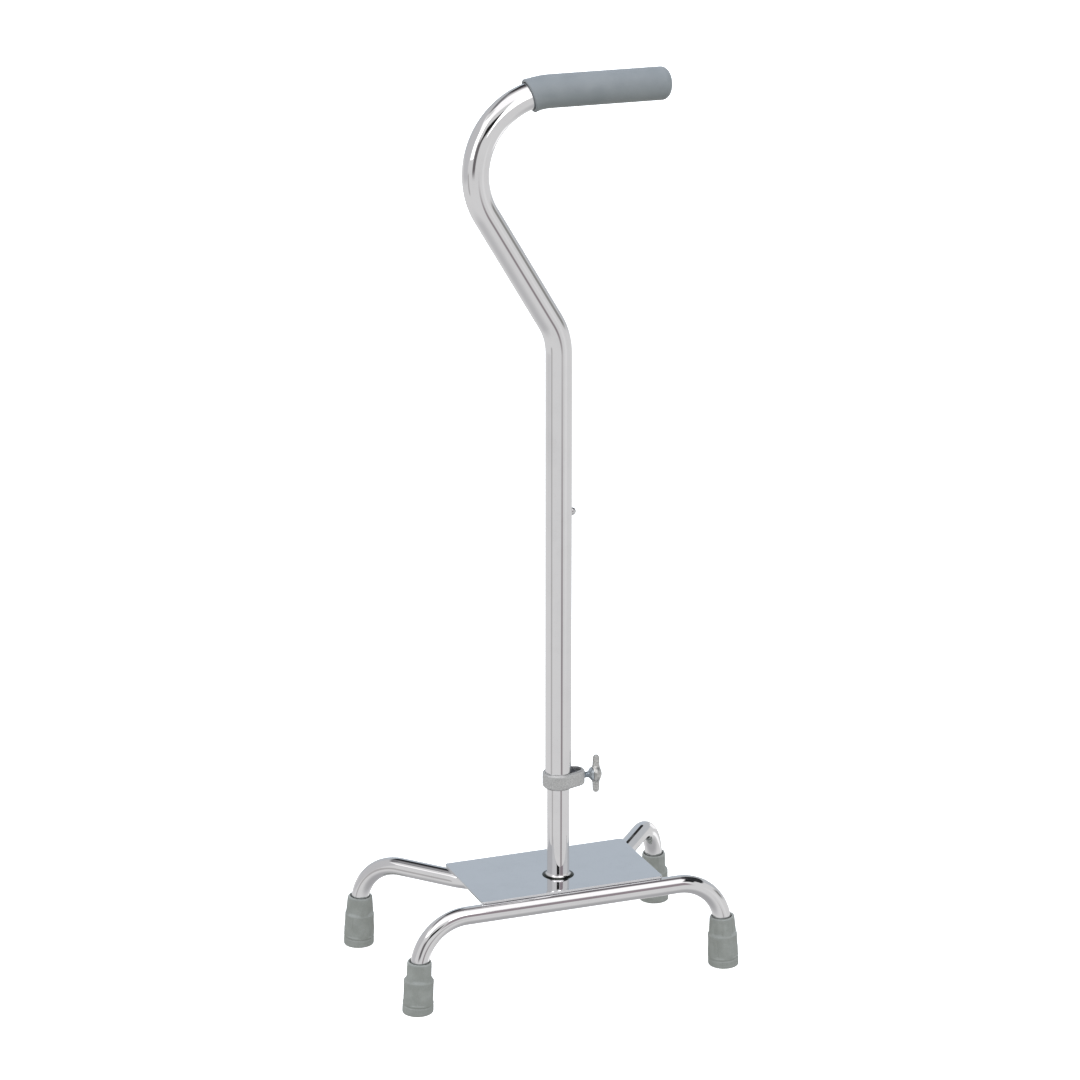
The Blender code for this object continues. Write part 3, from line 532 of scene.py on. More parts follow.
def add_handle_tube():
    """The handle tube, with its row of height holes on the +X side and a sawn slit in its clamped end."""
    route = handle_route()
    holes = LOWEST_HOLE + HOLE_PITCH * np.arange(HOLE_COUNT)
    stations = [s for s in route.stations(0.006, 0.0022) if s > holes[-1] + 0.008 or s == 0]
    for hole in holes:
        stations += list(hole + HOLE_BLOCK * np.linspace(-1, 1, 17))
    stations = np.unique(np.round(stations + [0.0015, 0.01, 0.02, SLIT_LENGTH, 0.04], 7))
    grid, keep, bore_foot, shapes = drilled_tube(
        route, stations, holes, TUBE_BOTTOM, TUBE_RADIUS, TUBE_BORE, half_columns=8
    )

    end = int(np.argmin(abs(stations - SLIT_LENGTH)))
    left, middle, right = TUBE_SIDES // 4 - 1, TUBE_SIDES // 4, TUBE_SIDES // 4 + 1
    keep[:end, left:right] = False
    keep[bore_foot - end :, left:right] = False
    up, down = np.arange(end + 1), np.arange(end, -1, -1)
    row_path = np.concatenate([up, [end], down])
    column_path = np.concatenate([up * 0 + left, [middle], down * 0 + right])
    strip = np.array([grid[row_path, column_path], grid[bore_foot - row_path, column_path]])
    shapes.append((strip, grid_faces(2, len(row_path))[:-1]))
    for column in (left, right):
        rim = grid[[0, bore_foot + 2, bore_foot + 1, bore_foot], column]
        shapes.append((rim, np.array([[0, 1, 2, 3]])))
    shapes.insert(0, kept_wall(grid, keep))
    make_piece("handle_tube", shapes, "handle", tube_chrome, ["upper_tube"])


def add_post():
    """The lower shaft tube, with the button's hole in its +X side."""
    low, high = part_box("lower_tube")
    route = Route((0, SHAFT_Y, low.z), (0, 0, 1), (1, 0, 0))
    route.straight(high.z - low.z)
    hole = BUTTON_HEIGHT - low.z
    stations = [0, 0.002, 0.02, 0.05, 0.1, 0.15, 0.2, 0.25, 0.3, route.length - 0.002, route.length]
    stations = np.unique(np.round(stations + list(hole + HOLE_BLOCK * np.linspace(-1, 1, 19)), 7))
    grid, keep, _, shapes = drilled_tube(route, stations, [hole], low.z, POST_RADIUS, POST_BORE, 9)
    shapes.insert(0, kept_wall(grid, keep))
    make_piece("post", shapes, "base", tube_chrome, ["lower_tube"])


def add_button():
    """The snap button: a short pin with a ball end."""
    low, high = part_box("snap_button")
    crease_shade, tip = low.x, high.x
    profile = [(0, crease_shade), (BUTTON_RADIUS, crease_shade)]
    profile += [(r, x) for x, r in edge_arc(BUTTON_RADIUS, (tip - BUTTON_RADIUS, 0), 16, 90, 0)]
    points, faces = spun(profile, 48, (0, SHAFT_Y, BUTTON_HEIGHT), (1, 0, 0), (0, 1, 0))
    shape = (points, faces)
    piece = make_piece("button", [shape], "button", button_steel, ["snap_button"])
    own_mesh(piece)


def add_spring():
    """The V spring: a strip's section carried down one arm, round the bend and up the other."""
    low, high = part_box("snap_spring")
    half_thick, half_width, chamfer = 0.0003, (high.y - low.y) / 2, 0.0001
    arm = high.x - half_thick
    line = [(arm, 0.006), (arm, -0.006), (0.002, -0.034), (0.0014, -0.0354), (0, -0.036)]
    line = np.array(line + [(-x, z) for x, z in line[-2:0:-1]] + [(-arm, 0.002)])
    for _ in range(3):
        cuts = np.stack([line[:-1] * 0.75 + line[1:] * 0.25, line[:-1] * 0.25 + line[1:] * 0.75], 1)
        line = np.concatenate([line[:1], cuts.reshape(-1, 2), line[-1:]])
    along = np.gradient(line, axis=0)
    along /= np.linalg.norm(along, axis=1)[:, None]
    out = np.column_stack([-along[:, 1], along[:, 0]])
    corners = [(half_thick - chamfer, half_width), (half_thick, half_width - chamfer)]
    corners += [(a, -b) for a, b in corners[::-1]]
    corners += [(-a, b) for a, b in corners[::-1]]
    offset, width = np.array(corners).T
    flat = line[:, None] + offset[None, :, None] * out[:, None]
    y = np.broadcast_to(width + SHAFT_Y, flat.shape[:2])
    strip = np.dstack([flat[..., 0], y, flat[..., 1] + BUTTON_HEIGHT])
    ends = [np.broadcast_to(strip[k].mean(0), strip[k].shape)[None] for k in (0, -1)]
    strip = np.concatenate([ends[0], strip, ends[1]])
    shape = (strip, grid_faces(*strip.shape[:2]))
    piece = make_piece("spring", [shape], "base", spring_steel, ["snap_spring"])
    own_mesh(piece)


# Grip
def add_grip():
    """A sleeve over the handle: a plump mouth on the crook, a long straight run and a domed closed end.

    The dome's radius is the sine of a turn to a power under 1, and the mouth swells as a bell curve.
    """
    whole = handle_route()
    crook_end = whole.length - HANDLE_RUN
    mouth = crook_end - CROOK_RADIUS * GRIP_WRAP
    end = crook_end + (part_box("grip")[1].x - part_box("upper_tube")[1].x) + HANDLE_RUN
    bore_end = end - 0.005
    dome, lip, swell = 0.0075, 0.0011, 0.00045
    turn = np.linspace(0, np.pi / 2, 22)
    run = np.linspace(end - dome - 0.0015, mouth + lip + 0.0002, 90)
    lip_turn = np.radians(np.linspace(90, 270, 13))
    bore = np.linspace(mouth + lip + 0.0002, bore_end, 40)
    rim, half_wall = (GRIP_RADIUS + swell + GRIP_BORE) / 2, (GRIP_RADIUS + swell - GRIP_BORE) / 2
    rows = [end - dome * (1 - np.cos(turn)), run, mouth + lip + lip * np.cos(lip_turn), bore, [bore_end]]
    radii = [
        GRIP_RADIUS * np.sin(turn) ** 0.72,
        GRIP_RADIUS + swell * np.exp(-(((run - mouth) / 0.0035) ** 2)),
        rim + half_wall * np.sin(lip_turn),
        np.full(len(bore), GRIP_BORE),
        [0.0],
    ]
    rows, radii = np.concatenate(rows), np.concatenate(radii)
    shape = (carried(whole, rows, radii, 128), grid_faces(len(rows), 128))
    make_piece("hand_grip", [shape], "handle", grip_vinyl, ["grip"])


# Base
def leg_start(x, y, heading):
    inward = np.array([math.cos(heading), math.sin(heading), 0])
    rise = inward * math.sin(LEG_LEAN) + np.array([0, 0, math.cos(LEG_LEAN)])
    return np.array([x, y, 0.0]) + rise * LEG_START, rise, inward


def leg_route(x, y, heading):
    """A leg from its foot up to the level of the plate."""
    start, rise, inward = leg_start(x, y, heading)
    route = Route(start, rise, inward)
    route.straight(LEG_STRAIGHT - LEG_START)
    route.arc(LEG_BEND_RADIUS, math.pi / 2 - LEG_LEAN, inward)
    return route


def finish_leg(route):
    route.arc(LEG_BEND_RADIUS, math.pi / 2 - LEG_LEAN, (0, 0, -1))
    route.straight(LEG_STRAIGHT - LEG_START)
    return route


def front_route():
    reach = LEG_STRAIGHT * math.sin(LEG_LEAN) + LEG_BEND_RADIUS * math.cos(LEG_LEAN)
    route = leg_route(-FOOT_X, -FOOT_Y, 0.0)
    route.straight(2 * FOOT_X - 2 * reach)
    return finish_leg(route)


def rear_route():
    """The rear tube: in from the left foot at an angle, along under the plate, out to the right foot."""
    sine, cosine = math.sin(REAR_ARM_ANGLE), math.cos(REAR_ARM_ANGLE)
    reach = LEG_STRAIGHT * math.sin(LEG_LEAN) + LEG_BEND_RADIUS * math.cos(LEG_LEAN)
    drop = FOOT_Y - SHAFT_Y - REAR_RUN_OFFSET
    arm = (drop - REAR_BEND_RADIUS * (1 - cosine)) / sine
    route = leg_route(-FOOT_X, FOOT_Y, -REAR_ARM_ANGLE)
    route.straight(arm - reach)
    route.arc(REAR_BEND_RADIUS, REAR_ARM_ANGLE, (sine, cosine, 0))
    route.straight(2 * FOOT_X - 2 * (arm * cosine + REAR_BEND_RADIUS * sine))
    route.arc(REAR_BEND_RADIUS, REAR_ARM_ANGLE, (0, 1, 0))
    route.straight(arm - reach)
    return finish_leg(route)


def add_legs():
    for name, route in (("front_leg_tube", front_route()), ("rear_leg_tube", rear_route())):
        shape = tube(route, route.stations(0.006, 0.0018), LEG_RADIUS, LEG_BORE, 80)
        make_piece(name.replace("_tube", "s"), [shape], "base", tube_chrome, [name])


def add_plate():
    """The plate, its corners and edges rounded: loops from the shaft's hole over its top and underside."""
    corner, edge = 0.003, 0.00055
    half_x = PLATE_HIGH.x
    front, back = PLATE_LOW.y, PLATE_HIGH.y
    bottom, top = PLATE_LOW.z, PLATE_HIGH.z
    centre = np.array([0.0, SHAFT_Y])
    outline, outward = [], []
    corners = [(half_x, back), (-half_x, back), (-half_x, front), (half_x, front)]
    corners = np.array(corners) - corner * np.array([(1, 1), (-1, 1), (-1, -1), (1, -1)])
    for k in range(4):
        for turn in np.radians(np.linspace(90 * k, 90 * k + 90, 9)):
            outward.append([math.cos(turn), math.sin(turn)])
            outline.append(corners[k] + corner * np.array(outward[-1]))
        near, far = outline[-1], corners[(k + 1) % 4] + corner * np.array(outward[-1])
        for t in np.linspace(0, 1, 42)[1:-1]:
            outline.append(near + (far - near) * t)
            outward.append(outward[-1])
    outline, outward = np.array(outline), np.array(outward)
    spoke = outline - centre
    circle = centre + spoke / np.linalg.norm(spoke, axis=1)[:, None] * (POST_RADIUS + 0.0002)
    loops = []

    def loop(share, inset, height):
        flat = circle + (outline - outward * inset - circle) * share
        loops.append(np.column_stack([flat, np.full(len(flat), height)]))

    for share in (0.0, 0.02, 0.2, 0.5, 0.8):
        loop(share, edge, top)
    for inset, height in edge_arc(edge, (0, top - edge), 7, 90, 0):
        loop(1.0, edge - inset, height)
    for inset, height in edge_arc(edge, (0, bottom + edge), 7, 0, -90):
        loop(1.0, edge - inset, height)
    for share in (0.8, 0.5, 0.2, 0.02, 0.0):
        loop(share, edge, bottom)
    shape = (np.array(loops), grid_faces(len(loops), len(outline), closed_rows=True))
    make_piece("plate", [shape], "base", plate_chrome, ["base_plate"], sharp=50)


def add_welds():
    """A hollow fillet round the post's foot, and rippled beads where the plate sits on the leg tubes."""
    top, leg = PLATE_HIGH.z, 0.0041
    inner = POST_RADIUS - 0.0001
    turn = np.radians(np.linspace(0, 90, 20))
    fillet = [(inner + leg * (1 - math.sin(t)), top + leg * (1 - math.cos(t))) for t in turn]
    profile = [(inner, top - 0.0003), (inner + leg + 0.0002, top - 0.0003)] + fillet
    shape = spun(profile, 96, (0, SHAFT_Y, 0), closed=True)
    make_piece("post_weld", [shape], "base", weld_chrome, ["shaft_weld"], sharp=60)
    for name in ("weld_front_left", "weld_front_right", "weld_rear_left", "weld_rear_right"):
        low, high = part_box(name)
        length = high.x - low.x
        run = np.linspace(0, length, 120)
        ends = np.sqrt(np.clip(1 - (abs(run / length - 0.5) * 2) ** 8, 0, 1))
        ripple = 1 + 0.10 * abs(np.sin(np.pi * run / 0.0016)) ** 0.7 - 0.10
        route = Route((low.x, (low.y + high.y) / 2, (low.z + high.z) / 2), (1, 0, 0), (0, 0, 1))
        route.straight(length)
        points = carried(route, run, WELD_BEAD_RADIUS * ends * ripple, 24)
        bead = (points, grid_faces(len(run), 24))
        make_piece(name.replace("weld", "bead"), [bead], "base", plate_chrome, [name])


# Feet
TIP_HEIGHT, TIP_BORE, TIP_FLOOR = 0.045, 0.00805, 0.009
TIP_BODY_RADIUS, TIP_RIB_RADIUS = 0.0126, 0.0132
TIP_NECK_RADIUS, TIP_TOP_RADIUS = 0.0103, 0.0108
FOOT_ROUND, TIP_MOUTH = 0.0012, 0.0016


def tip_radius(height, turn):
    """Radius of a tip's outside: neck, chamfer, wider body, and four ribs that run down in one taper."""
    neck_to_body = smooth_step(0.0308, 0.0284, height)
    body = TIP_NECK_RADIUS + 0.02 * (TIP_HEIGHT - height) * (1 - neck_to_body) * 0.6
    body = body + (TIP_BODY_RADIUS - body) * neck_to_body
    down = np.clip((TIP_HEIGHT - height) / 0.030, 0, 1)
    taper = TIP_TOP_RADIUS + (TIP_RIB_RADIUS - TIP_TOP_RADIUS) * down
    rib = smooth_step(0.25, 0.85, np.cos(4 * turn) * 0.5 + 0.5) ** 1.2
    radius = body + (np.maximum(taper, body) - body) * rib
    seam = np.exp(-((np.sin(2 * (turn - np.pi / 4)) * radius / 2 / 0.0005) ** 2))
    seam = seam * smooth_step(0.0100, 0.0115, height) * smooth_step(0.0265, 0.0240, height)
    radius = radius - 0.00035 * seam
    band = smooth_step(0.0098, 0.0090, height)
    radius = radius + (TIP_RIB_RADIUS - 0.0001 - radius) * band
    groove = np.exp(-(((height - 0.0072) / 0.00055) ** 2))
    return radius - 0.00045 * groove


def tip_rows(turn):
    """Heights and radii of a tip's rows: rings of tread, the outside, the mouth and the bore."""
    rows = [(0.0, 0.0)]
    for ring in (0.0024, 0.0051, 0.0078, 0.0105):
        groove = ((0.0, -0.0007), (0.0007, -0.00045), (0.0007, 0.00045), (0.0, 0.0007))
        rows += [(depth, ring + offset) for depth, offset in groove]
    crease_shade = tip_radius(FOOT_ROUND, turn)
    rounded = edge_arc(FOOT_ROUND, (0, FOOT_ROUND), 6, -90, 0)
    rows += [(height, crease_shade - FOOT_ROUND + inset) for inset, height in rounded]
    rim = TIP_HEIGHT - TIP_MOUTH
    outside = np.concatenate([np.linspace(FOOT_ROUND, 0.0115, 30), np.linspace(0.012, rim, 56)])
    rows += [(height, tip_radius(height, turn)) for height in outside]
    mouth = tip_radius(rim, turn)
    for t in np.radians(np.linspace(15, 90, 6)):
        rows.append((rim + TIP_MOUTH * math.sin(t), mouth - 0.0012 * (1 - math.cos(t))))
    rows += [(TIP_HEIGHT - 0.0002, TIP_BORE + 0.00055), (TIP_HEIGHT - 0.0012, TIP_BORE + 0.0002)]
    rows += [(height, TIP_BORE) for height in (0.040, 0.030, 0.020, TIP_FLOOR)] + [(TIP_FLOOR, 0.0)]
    heights = np.array([np.full(turn.shape, height) for height, _ in rows])
    return heights, np.array([np.broadcast_to(radius, turn.shape) for _, radius in rows])


def add_tips():
    """A rubber tip on each leg, in line with it, with its foot sunk flat on the floor."""
    turn = 2 * np.pi * np.arange(144) / 144
    feet = (
        # place, heading of the leg, turn of the ribs (degrees)
        ("front_left", -FOOT_X, -FOOT_Y, 0.0, -66.0),
        ("front_right", FOOT_X, -FOOT_Y, math.pi, 0.0),
        ("rear_left", -FOOT_X, FOOT_Y, -REAR_ARM_ANGLE, 0.0),
        ("rear_right", FOOT_X, FOOT_Y, math.pi + REAR_ARM_ANGLE, 20.0),
    )
    for name, x, y, heading, ribs_at in feet:
        _, rise, inward = leg_start(x, y, heading)
        other = np.cross(rise, inward - inward @ rise * rise)
        side = np.cross(other, rise)
        side, other = side / np.linalg.norm(side), other / np.linalg.norm(other)
        heights, radii = tip_rows(turn - math.radians(ribs_at) + heading)
        ring = radii[..., None] * (np.cos(turn)[:, None] * side + np.sin(turn)[:, None] * other)
        points = np.array([x, y, 0.0]) + heights[..., None] * rise + ring
        points[..., 2] -= (points[..., 2] - heights) * smooth_step(0.006, 0.0, heights)
        shape = (points, grid_faces(*heights.shape))
        make_piece("foot_" + name, [shape], "base", tip_rubber, ["tip_" + name])


# Clamp
BELT_BACK, BELT_FLANK, BELT_FRONT = 61, 12, 41  # points of a belt's parts


def belt(big, small, distance):
    """A belt round two circles on the X axis: back arc, one flank, end arc, other flank."""
    lean = math.asin((big - small) / distance)
    free = math.pi / 2 - lean
    back = np.linspace(free, 2 * math.pi - free, BELT_BACK)
    front = np.linspace(-free, free, BELT_FRONT)
    big_arc = np.column_stack([big * np.cos(back), big * np.sin(back)])
    small_arc = np.column_stack([distance + small * np.cos(front), small * np.sin(front)])
    share = np.linspace(0, 1, BELT_FLANK + 2)[1:-1, None]
    lower = big_arc[-1] + (small_arc[0] - big_arc[-1]) * share
    upper = small_arc[-1] + (big_arc[0] - small_arc[-1]) * share
    return np.concatenate([big_arc, lower, small_arc, upper])


def add_collar():
    """A cast loop: a rounded section carried round a belt path, thicker at the screw's end."""
    low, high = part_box("clamp_collar")
    distance = high.x - COLLAR_END
    outer = belt(COLLAR_BACK, COLLAR_END, distance)
    inner = belt(COLLAR_BACK_BORE, COLLAR_END_BORE, distance)
    half_height = (high.z - low.z) / 2
    soft, tight = 0.0024, 0.0005
    turn = np.radians(np.linspace(0, 90, 7))
    tall = np.linspace(-(half_height - soft), half_height - soft, 19)
    # each point: 1 on the outside or -1 on the inside, a shift outwards, a height
    column = [(1, 0.0, z) for z in tall]
    column += [(1, -soft * (1 - math.cos(t)), half_height - soft * (1 - math.sin(t))) for t in turn[1:]]
    column += [(-1, tight * (1 - math.sin(t)), half_height - tight * (1 - math.cos(t))) for t in turn]
    column += [(-1, 0.0, z) for z in tall[::-1]]
    column += [(-1, tight * (1 - math.cos(t)), -half_height + tight * (1 - math.sin(t))) for t in turn]
    last = turn[:-1]
    column += [(1, -soft * (1 - math.sin(t)), -half_height + soft * (1 - math.cos(t))) for t in last]
    wall, shift, z = np.array(column).T
    middle, half = (outer + inner) / 2, (outer - inner) / 2
    across = half / np.linalg.norm(half, axis=1)[:, None]
    flat = middle[:, None] + half[:, None] * wall[None, :, None] + across[:, None] * shift[None, :, None]
    height = np.broadcast_to(z + SCREW_HEIGHT, flat.shape[:2])
    grid = np.dstack([flat[..., 0], flat[..., 1] + SHAFT_Y, height])
    keep = np.ones(grid.shape[:2], bool)
    # a block of quads round the screw, outside and inside, is left out for its hole
    end = BELT_BACK + BELT_FLANK + BELT_FRONT // 2
    a, b = end - 13, end + 13
    c, d = 3, 15
    inside_first = len(tall) + 6 + 7
    e, f = inside_first + (len(tall) - 1 - d), inside_first + (len(tall) - 1 - c)
    keep[a:b, c:d] = False
    keep[a:b, e:f] = False
    outside = block_loop((a, b), (c, d), grid)
    inside = match_loop(outside, block_loop((a, b), (e, f), grid))
    walls = ((distance, COLLAR_END), (distance, COLLAR_END_BORE))
    hole = hole_between(outside, inside, SCREW_HEIGHT, SCREW_RADIUS + 0.0003, walls, rings=3)
    shapes = [kept_wall(grid, keep), hole]
    make_piece("collar", shapes, "handle", collar_zinc, ["clamp_collar"], sharp=50)


def match_loop(first, second):
    """The second loop, reordered so that it starts and turns like the first, seen along X."""
    spoke = (first - first.mean(0))[:, 1:]
    other = (second - second.mean(0))[:, 1:]
    turn = np.unwrap(np.arctan2(spoke[:, 1], spoke[:, 0]))
    back = np.unwrap(np.arctan2(other[:, 1], other[:, 0]))
    if (turn[-1] - turn[0]) * (back[-1] - back[0]) < 0:
        second = second[::-1]
        other = other[::-1]
    first_spoke = (spoke / abs(spoke).max(0))[0]
    start = int(np.argmin(np.linalg.norm(other / abs(other).max(0) - first_spoke, axis=1)))
    return np.roll(second, -start, axis=0)


def add_screw():
    """The clamp screw: a radius along X, less a thread that climbs one pitch a turn, and a cone."""
    low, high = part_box("wing_screw")
    neck_end = high.x - 0.009
    thread_start, thread_end = 0.0156, neck_end - 0.0003
    x = [[low.x, low.x, low.x + 0.0003, 0.0154], np.arange(thread_start, thread_end, 0.00007)]
    x = np.concatenate(x)
    radius = np.concatenate([[0, 0.0018, 0.002, 0.002], np.full(len(x) - 4, SCREW_RADIUS)])
    cone = [(0, 0.0026), (0.0006, 0.0034), (0.0016, 0.0046), (0.0024, 0.0055)]
    cone += [(0.0028, 0.0058), (0.0030, 0.0058), (0.0030, 0.0)]
    cone_x, cone_radius = np.array(cone).T
    x, radius = np.concatenate([x, neck_end + cone_x]), np.concatenate([radius, cone_radius])
    sides = 40
    turn = np.arange(sides) / sides
    phase = (x[:, None] / SCREW_PITCH - turn) % 1
    cut = smooth_step(thread_start, thread_start + 0.0006, x)
    cut = cut * smooth_step(thread_end, thread_end - 0.0006, x)
    radii = radius[:, None] - 0.00055 * abs(2 * phase - 1) * cut[:, None]
    route = Route((low.x, SHAFT_Y, SCREW_HEIGHT), (1, 0, 0), (0, 1, 0))
    route.straight(high.x - low.x)
    points = carried(route, x - low.x, radii, sides)
    shape = (points, grid_faces(len(x), sides))
    make_piece("clamp_screw", [shape], "screw", plated_steel, ["wing_screw"])


def knob_field(x, y, z):
    """Negative inside the knob: a domed hub along X and a flat tongue along Z, softly run together."""
    back, front = (corner.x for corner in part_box("wing_knob"))
    hub_radius, dome = 0.0066, 0.0056
    past = np.maximum(x - (front - dome), 0) * hub_radius / dome
    hub = np.sqrt(y**2 + z**2 + past**2) - hub_radius + 0.0007 * smooth_step(back + 0.002, back, x)
    hub = -soft_smaller(-hub, -(back - x), 0.0008)
    half_width, half_thick, soft = 0.0032, 0.0017, 0.0011
    middle = back + KNOB_MIDDLE
    span = 0.01715 - half_width
    waist = half_width * (1 - 0.10 * smooth_step(0.004, 0.016, abs(z)))
    beyond = np.maximum(abs(z) - span, 0)
    flat = np.sqrt((x - middle) ** 2 + beyond**2) - waist
    corner = np.sqrt(np.maximum(flat + soft, 0) ** 2 + np.maximum(abs(y) - half_thick + soft, 0) ** 2)
    wing = corner - soft + np.minimum(np.maximum(flat + soft, abs(y) - half_thick + soft), 0)
    return soft_smaller(hub, wing, 0.0022)


def add_knob():
    """The cast knob: at each height and turn, the distance from its middle line where the field is 0."""
    low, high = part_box("wing_knob")
    middle = low.x + KNOB_MIDDLE
    half = (high.z - low.z) / 2
    rows, sides = 150, 96
    t = np.linspace(-1, 1, rows)
    height = half * np.sin(np.pi / 2 * t) * 0.55 + half * t * 0.45
    height[[0, -1]] = [-half, half]
    turn = 2 * np.pi * np.arange(sides) / sides
    cosine, sine = np.cos(turn)[None], np.sin(turn)[None]
    near, far = np.zeros((rows, sides)), np.full((rows, sides), 0.012)
    for _ in range(36):
        reach = (near + far) / 2
        inside = knob_field(middle + reach * cosine, reach * sine, height[:, None]) < 0
        near, far = np.where(inside, reach, near), np.where(inside, far, reach)
    reach = near
    reach[[0, -1]] = 0.0
    height = np.broadcast_to(height[:, None], reach.shape)
    points = np.dstack([middle + reach * cosine, SHAFT_Y + reach * sine, SCREW_HEIGHT + height])
    shape = (points, grid_faces(rows, sides))
    make_piece("knob", [shape], "screw", knob_zinc, ["wing_knob"], sharp=70)


def finish_hidden_nodes():
    """Procedural finishes for the frame's own nodes that stay shown."""
    finishes = {"lower_tube_cap": nylon, "handle_plug": nylon, "glide_bush": nylon}
    finishes["clamp_shoe"] = shoe_steel
    for corner in ("front_left", "front_right", "rear_left", "rear_right"):
        finishes["tip_washer_" + corner] = washer_steel
    for name, material in finishes.items():
        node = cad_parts[name]
        node.data.materials.clear()
        node.data.materials.append(material)


# Studio
def show(name, data):
    """A new object for a camera, a light or the floor, in the scene."""
    holder = bpy.data.objects.new(name, data)
    bpy.context.scene.collection.objects.link(holder)
    return holder


def aim(holder, place, towards):
    """Stands an object at a place and turns its -Z towards a direction, upright."""
    holder.location = place
    holder.rotation_mode = "QUATERNION"
    holder.rotation_quaternion = Vector(towards).to_track_quat("-Z", "Y")


def add_camera():
    camera = bpy.data.cameras.new("camera")
    camera.lens = 129.67
    camera.sensor_width = 36.0
    camera.clip_end = 100.0
    holder = show("camera", camera)
    aim(holder, (-1.1147, -2.8984, 1.3423), Vector((0.3427, 0.8910, -0.2977)).normalized())
    bpy.context.scene.camera = holder


def add_floor():
    """A wide pale floor. Reflections and bounced light see the world's lower half instead of it."""
    size = 40.0
    points = np.array([[-size, -size, 0], [size, -size, 0], [size, size, 0], [-size, size, 0]], float)
    mesh = bpy.data.meshes.new("floor")
    mesh.from_pydata(points.tolist(), [], [[0, 1, 2, 3]])
    floor = show("floor", mesh)
    material, nodes = new_finish("floor_paper")
    fibre = nodes.noise(30.0, 3.0)
    tint = nodes.mix(fibre, (0.93, 0.93, 0.93), (0.95, 0.95, 0.95))
    glow = {"Emission_Color": (1, 1, 1, 1), "Emission_Strength": 0.62}
    nodes.surface(Base_Color=tint, Roughness=0.9, Specular_IOR_Level=0.0, **glow)
    mesh.materials.append(material)
    floor.visible_glossy = False
    floor.visible_diffuse = False


def studio_direction(azimuth, elevation):
    """A fixed direction in the room, in degrees: 0 is away from the camera's stand, 90 to its right."""
    turn, rise = math.radians(azimuth), math.radians(elevation)
    away, right = np.array([0.3590, 0.9333, 0.0]), np.array([0.9333, -0.3590, 0.0])
    level = math.cos(turn) * away + math.sin(turn) * right
    return math.cos(rise) * level + math.sin(rise) * np.array([0, 0, 1.0])


CARDS = (
    # azimuth, elevation, half width, half height, tilt, softness (degrees), colour of the light
    ("sky behind", 0, 30, 60, 34, 0, 10, (0.52, 0.54, 0.56)),
    ("left wall", -85, 25, 30, 40, 0, 8, (0.56, 0.56, 0.57)),
    ("grey above", 10, 68, 26, 11, 0, 6, (0.17, 0.155, 0.165)),
    ("overhead softbox", 180, 67, 50, 24, 0, 6, (1.20, 1.18, 1.19)),
    ("left glow", -108, 48, 10, 6, 0, 6, (0.74, 0.74, 0.74)),
    ("pink wall", 145, 15, 15, 13, 0, 6, (0.31, 0.265, 0.285)),
    ("dark flag", 66, 47, 28, 14, 0, 4, (0.030, 0.032, 0.034)),
    ("dark flag end", 112, 41, 9, 7, -38, 3, (0.012, 0.013, 0.014)),
    ("lilac gap", 58, 62, 12, 3, 0, 4, (0.09, 0.08, 0.09)),
    ("left flag tail", -64, 55, 18, 7, 0, 6, (0.20, 0.20, 0.21)),
    ("left flag", -21, 51, 10, 9, 0, 5, (0.020, 0.022, 0.024)),
    ("left flag end", -11, 40, 7, 10, 0, 3, (0.025, 0.027, 0.030)),
    ("right grey", 78, 8, 12, 6, 0, 7, (0.29, 0.29, 0.28)),
    ("backdrop", -2, 19, 16, 19, 0, 3, (0.51, 0.56, 0.615)),
    ("low streak", 18, 27.5, 8, 1.5, 0, 1.5, (0.03, 0.03, 0.03)),
    ("low right glow", 50, -32, 13, 6, 0, 5, (1.10, 1.10, 1.10)),
    ("near glow", 26, -7, 8, 8, 0, 4, (1.05, 1.05, 1.05)),
    ("bright slot", 115, -9, 9, 10, 0, 6, (0.76, 0.76, 0.76)),
    ("dark slot", 150, -21, 7, 6, 0, 9, (0.28, 0.25, 0.26)),
    ("soft slot", -118, -17, 6, 9, 0, 4, (0.46, 0.45, 0.45)),
    ("camera side", -163, 3, 11, 13, 0, 8, (0.16, 0.15, 0.155)),
    ("camera", 180, 18, 13, 7, 0, 5, (0.012, 0.012, 0.012)),
)


SOFTBOXES = (
    # azimuth (degrees), distance, bottom, top, width (metres), radiance
    ("right softbox", 155, 1.35, 0.80, 2.00, 0.66, 1.20),
    ("left softbox", -134, 1.35, 0.80, 2.00, 0.50, 1.15),
)


def add_softboxes():
    """Tall softboxes on either side of the camera, standing upright and turned to the cane."""
    for name, azimuth, distance, bottom, top, width, radiance in SOFTBOXES:
        away = studio_direction(azimuth, 0)
        light = bpy.data.lights.new(name, "AREA")
        light.shape = "RECTANGLE"
        light.size, light.size_y = width, top - bottom
        light.energy = 4 * width * (top - bottom) * radiance
        aim(show(name, light), Vector(away) * distance + Vector((0, SHAFT_Y, (bottom + top) / 2)), -away)


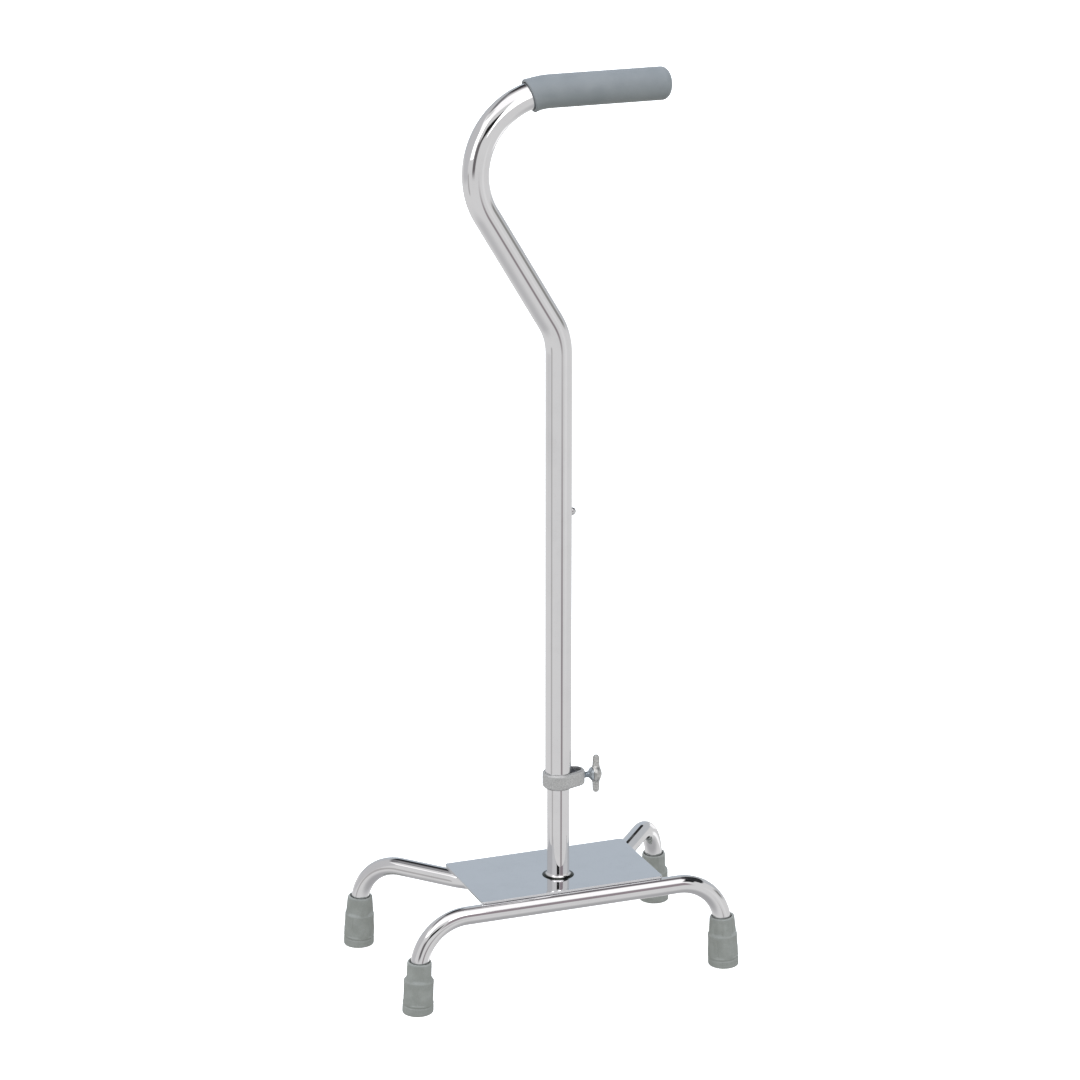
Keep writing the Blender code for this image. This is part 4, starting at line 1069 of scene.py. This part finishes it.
def light_studio():
    """A soft studio as a world. Reflections see pale walls, with soft-edged lights and flags over them.

    Matte surfaces are lit by a plain gradient, brighter upwards, which is also the background.
    """
    world = bpy.data.worlds.new("studio")
    bpy.context.scene.world = world
    nodes = Nodes(world)
    here = nodes.add("ShaderNodeTexCoord", output="Generated")
    height = nodes.add("ShaderNodeSeparateXYZ", {0: here}, output="Z")
    colour = nodes.mix(height.step(-0.95, -0.60), (0.42, 0.42, 0.43), (0.70, 0.70, 0.70))

    def along(direction):
        sockets = {0: here, 1: tuple(direction)}
        return nodes.add("ShaderNodeVectorMath", sockets, output="Value", operation="DOT_PRODUCT")

    for _, azimuth, elevation, half_width, half_height, tilt, softness, light in CARDS:
        middle = studio_direction(azimuth, elevation)
        across = studio_direction(azimuth + 90, 0)
        up = np.cross(across, middle)
        lean = math.radians(tilt)
        tilted = across * math.cos(lean) + up * math.sin(lean)
        across, up = tilted, up * math.cos(lean) - across * math.sin(lean)
        ahead = along(middle)
        card = ahead.step(0.0, 0.1)
        for direction, half in ((across, half_width), (up, half_height)):
            off = along(direction).math("DIVIDE", ahead).math("ABSOLUTE").math("ARCTANGENT")
            card = card * off.step(math.radians(half + softness / 2), math.radians(half - softness / 2))
        colour = nodes.mix(card, colour, light)
    mirrored = nodes.add("ShaderNodeBackground", {"Color": colour, "Strength": 1.0})
    glow = nodes.mix(height.step(-0.5, 1.0), (0.58, 0.60, 0.55), (1.72, 1.80, 1.92))
    plain = nodes.add("ShaderNodeBackground", {"Color": glow, "Strength": 1.0})
    glossy = nodes.add("ShaderNodeLightPath", output="Is Glossy Ray")
    light = nodes.add("ShaderNodeMixShader", {0: glossy, 1: plain, 2: mirrored})
    nodes.add("ShaderNodeOutputWorld", {"Surface": light})


add_handle_tube()
add_post()
add_button()
add_spring()
add_grip()
add_legs()
add_plate()
add_welds()
add_tips()
add_collar()
add_screw()
add_knob()
finish_hidden_nodes()
add_camera()
add_floor()
add_softboxes()
light_studio()
bpy.context.scene.view_settings.view_transform = "Standard"
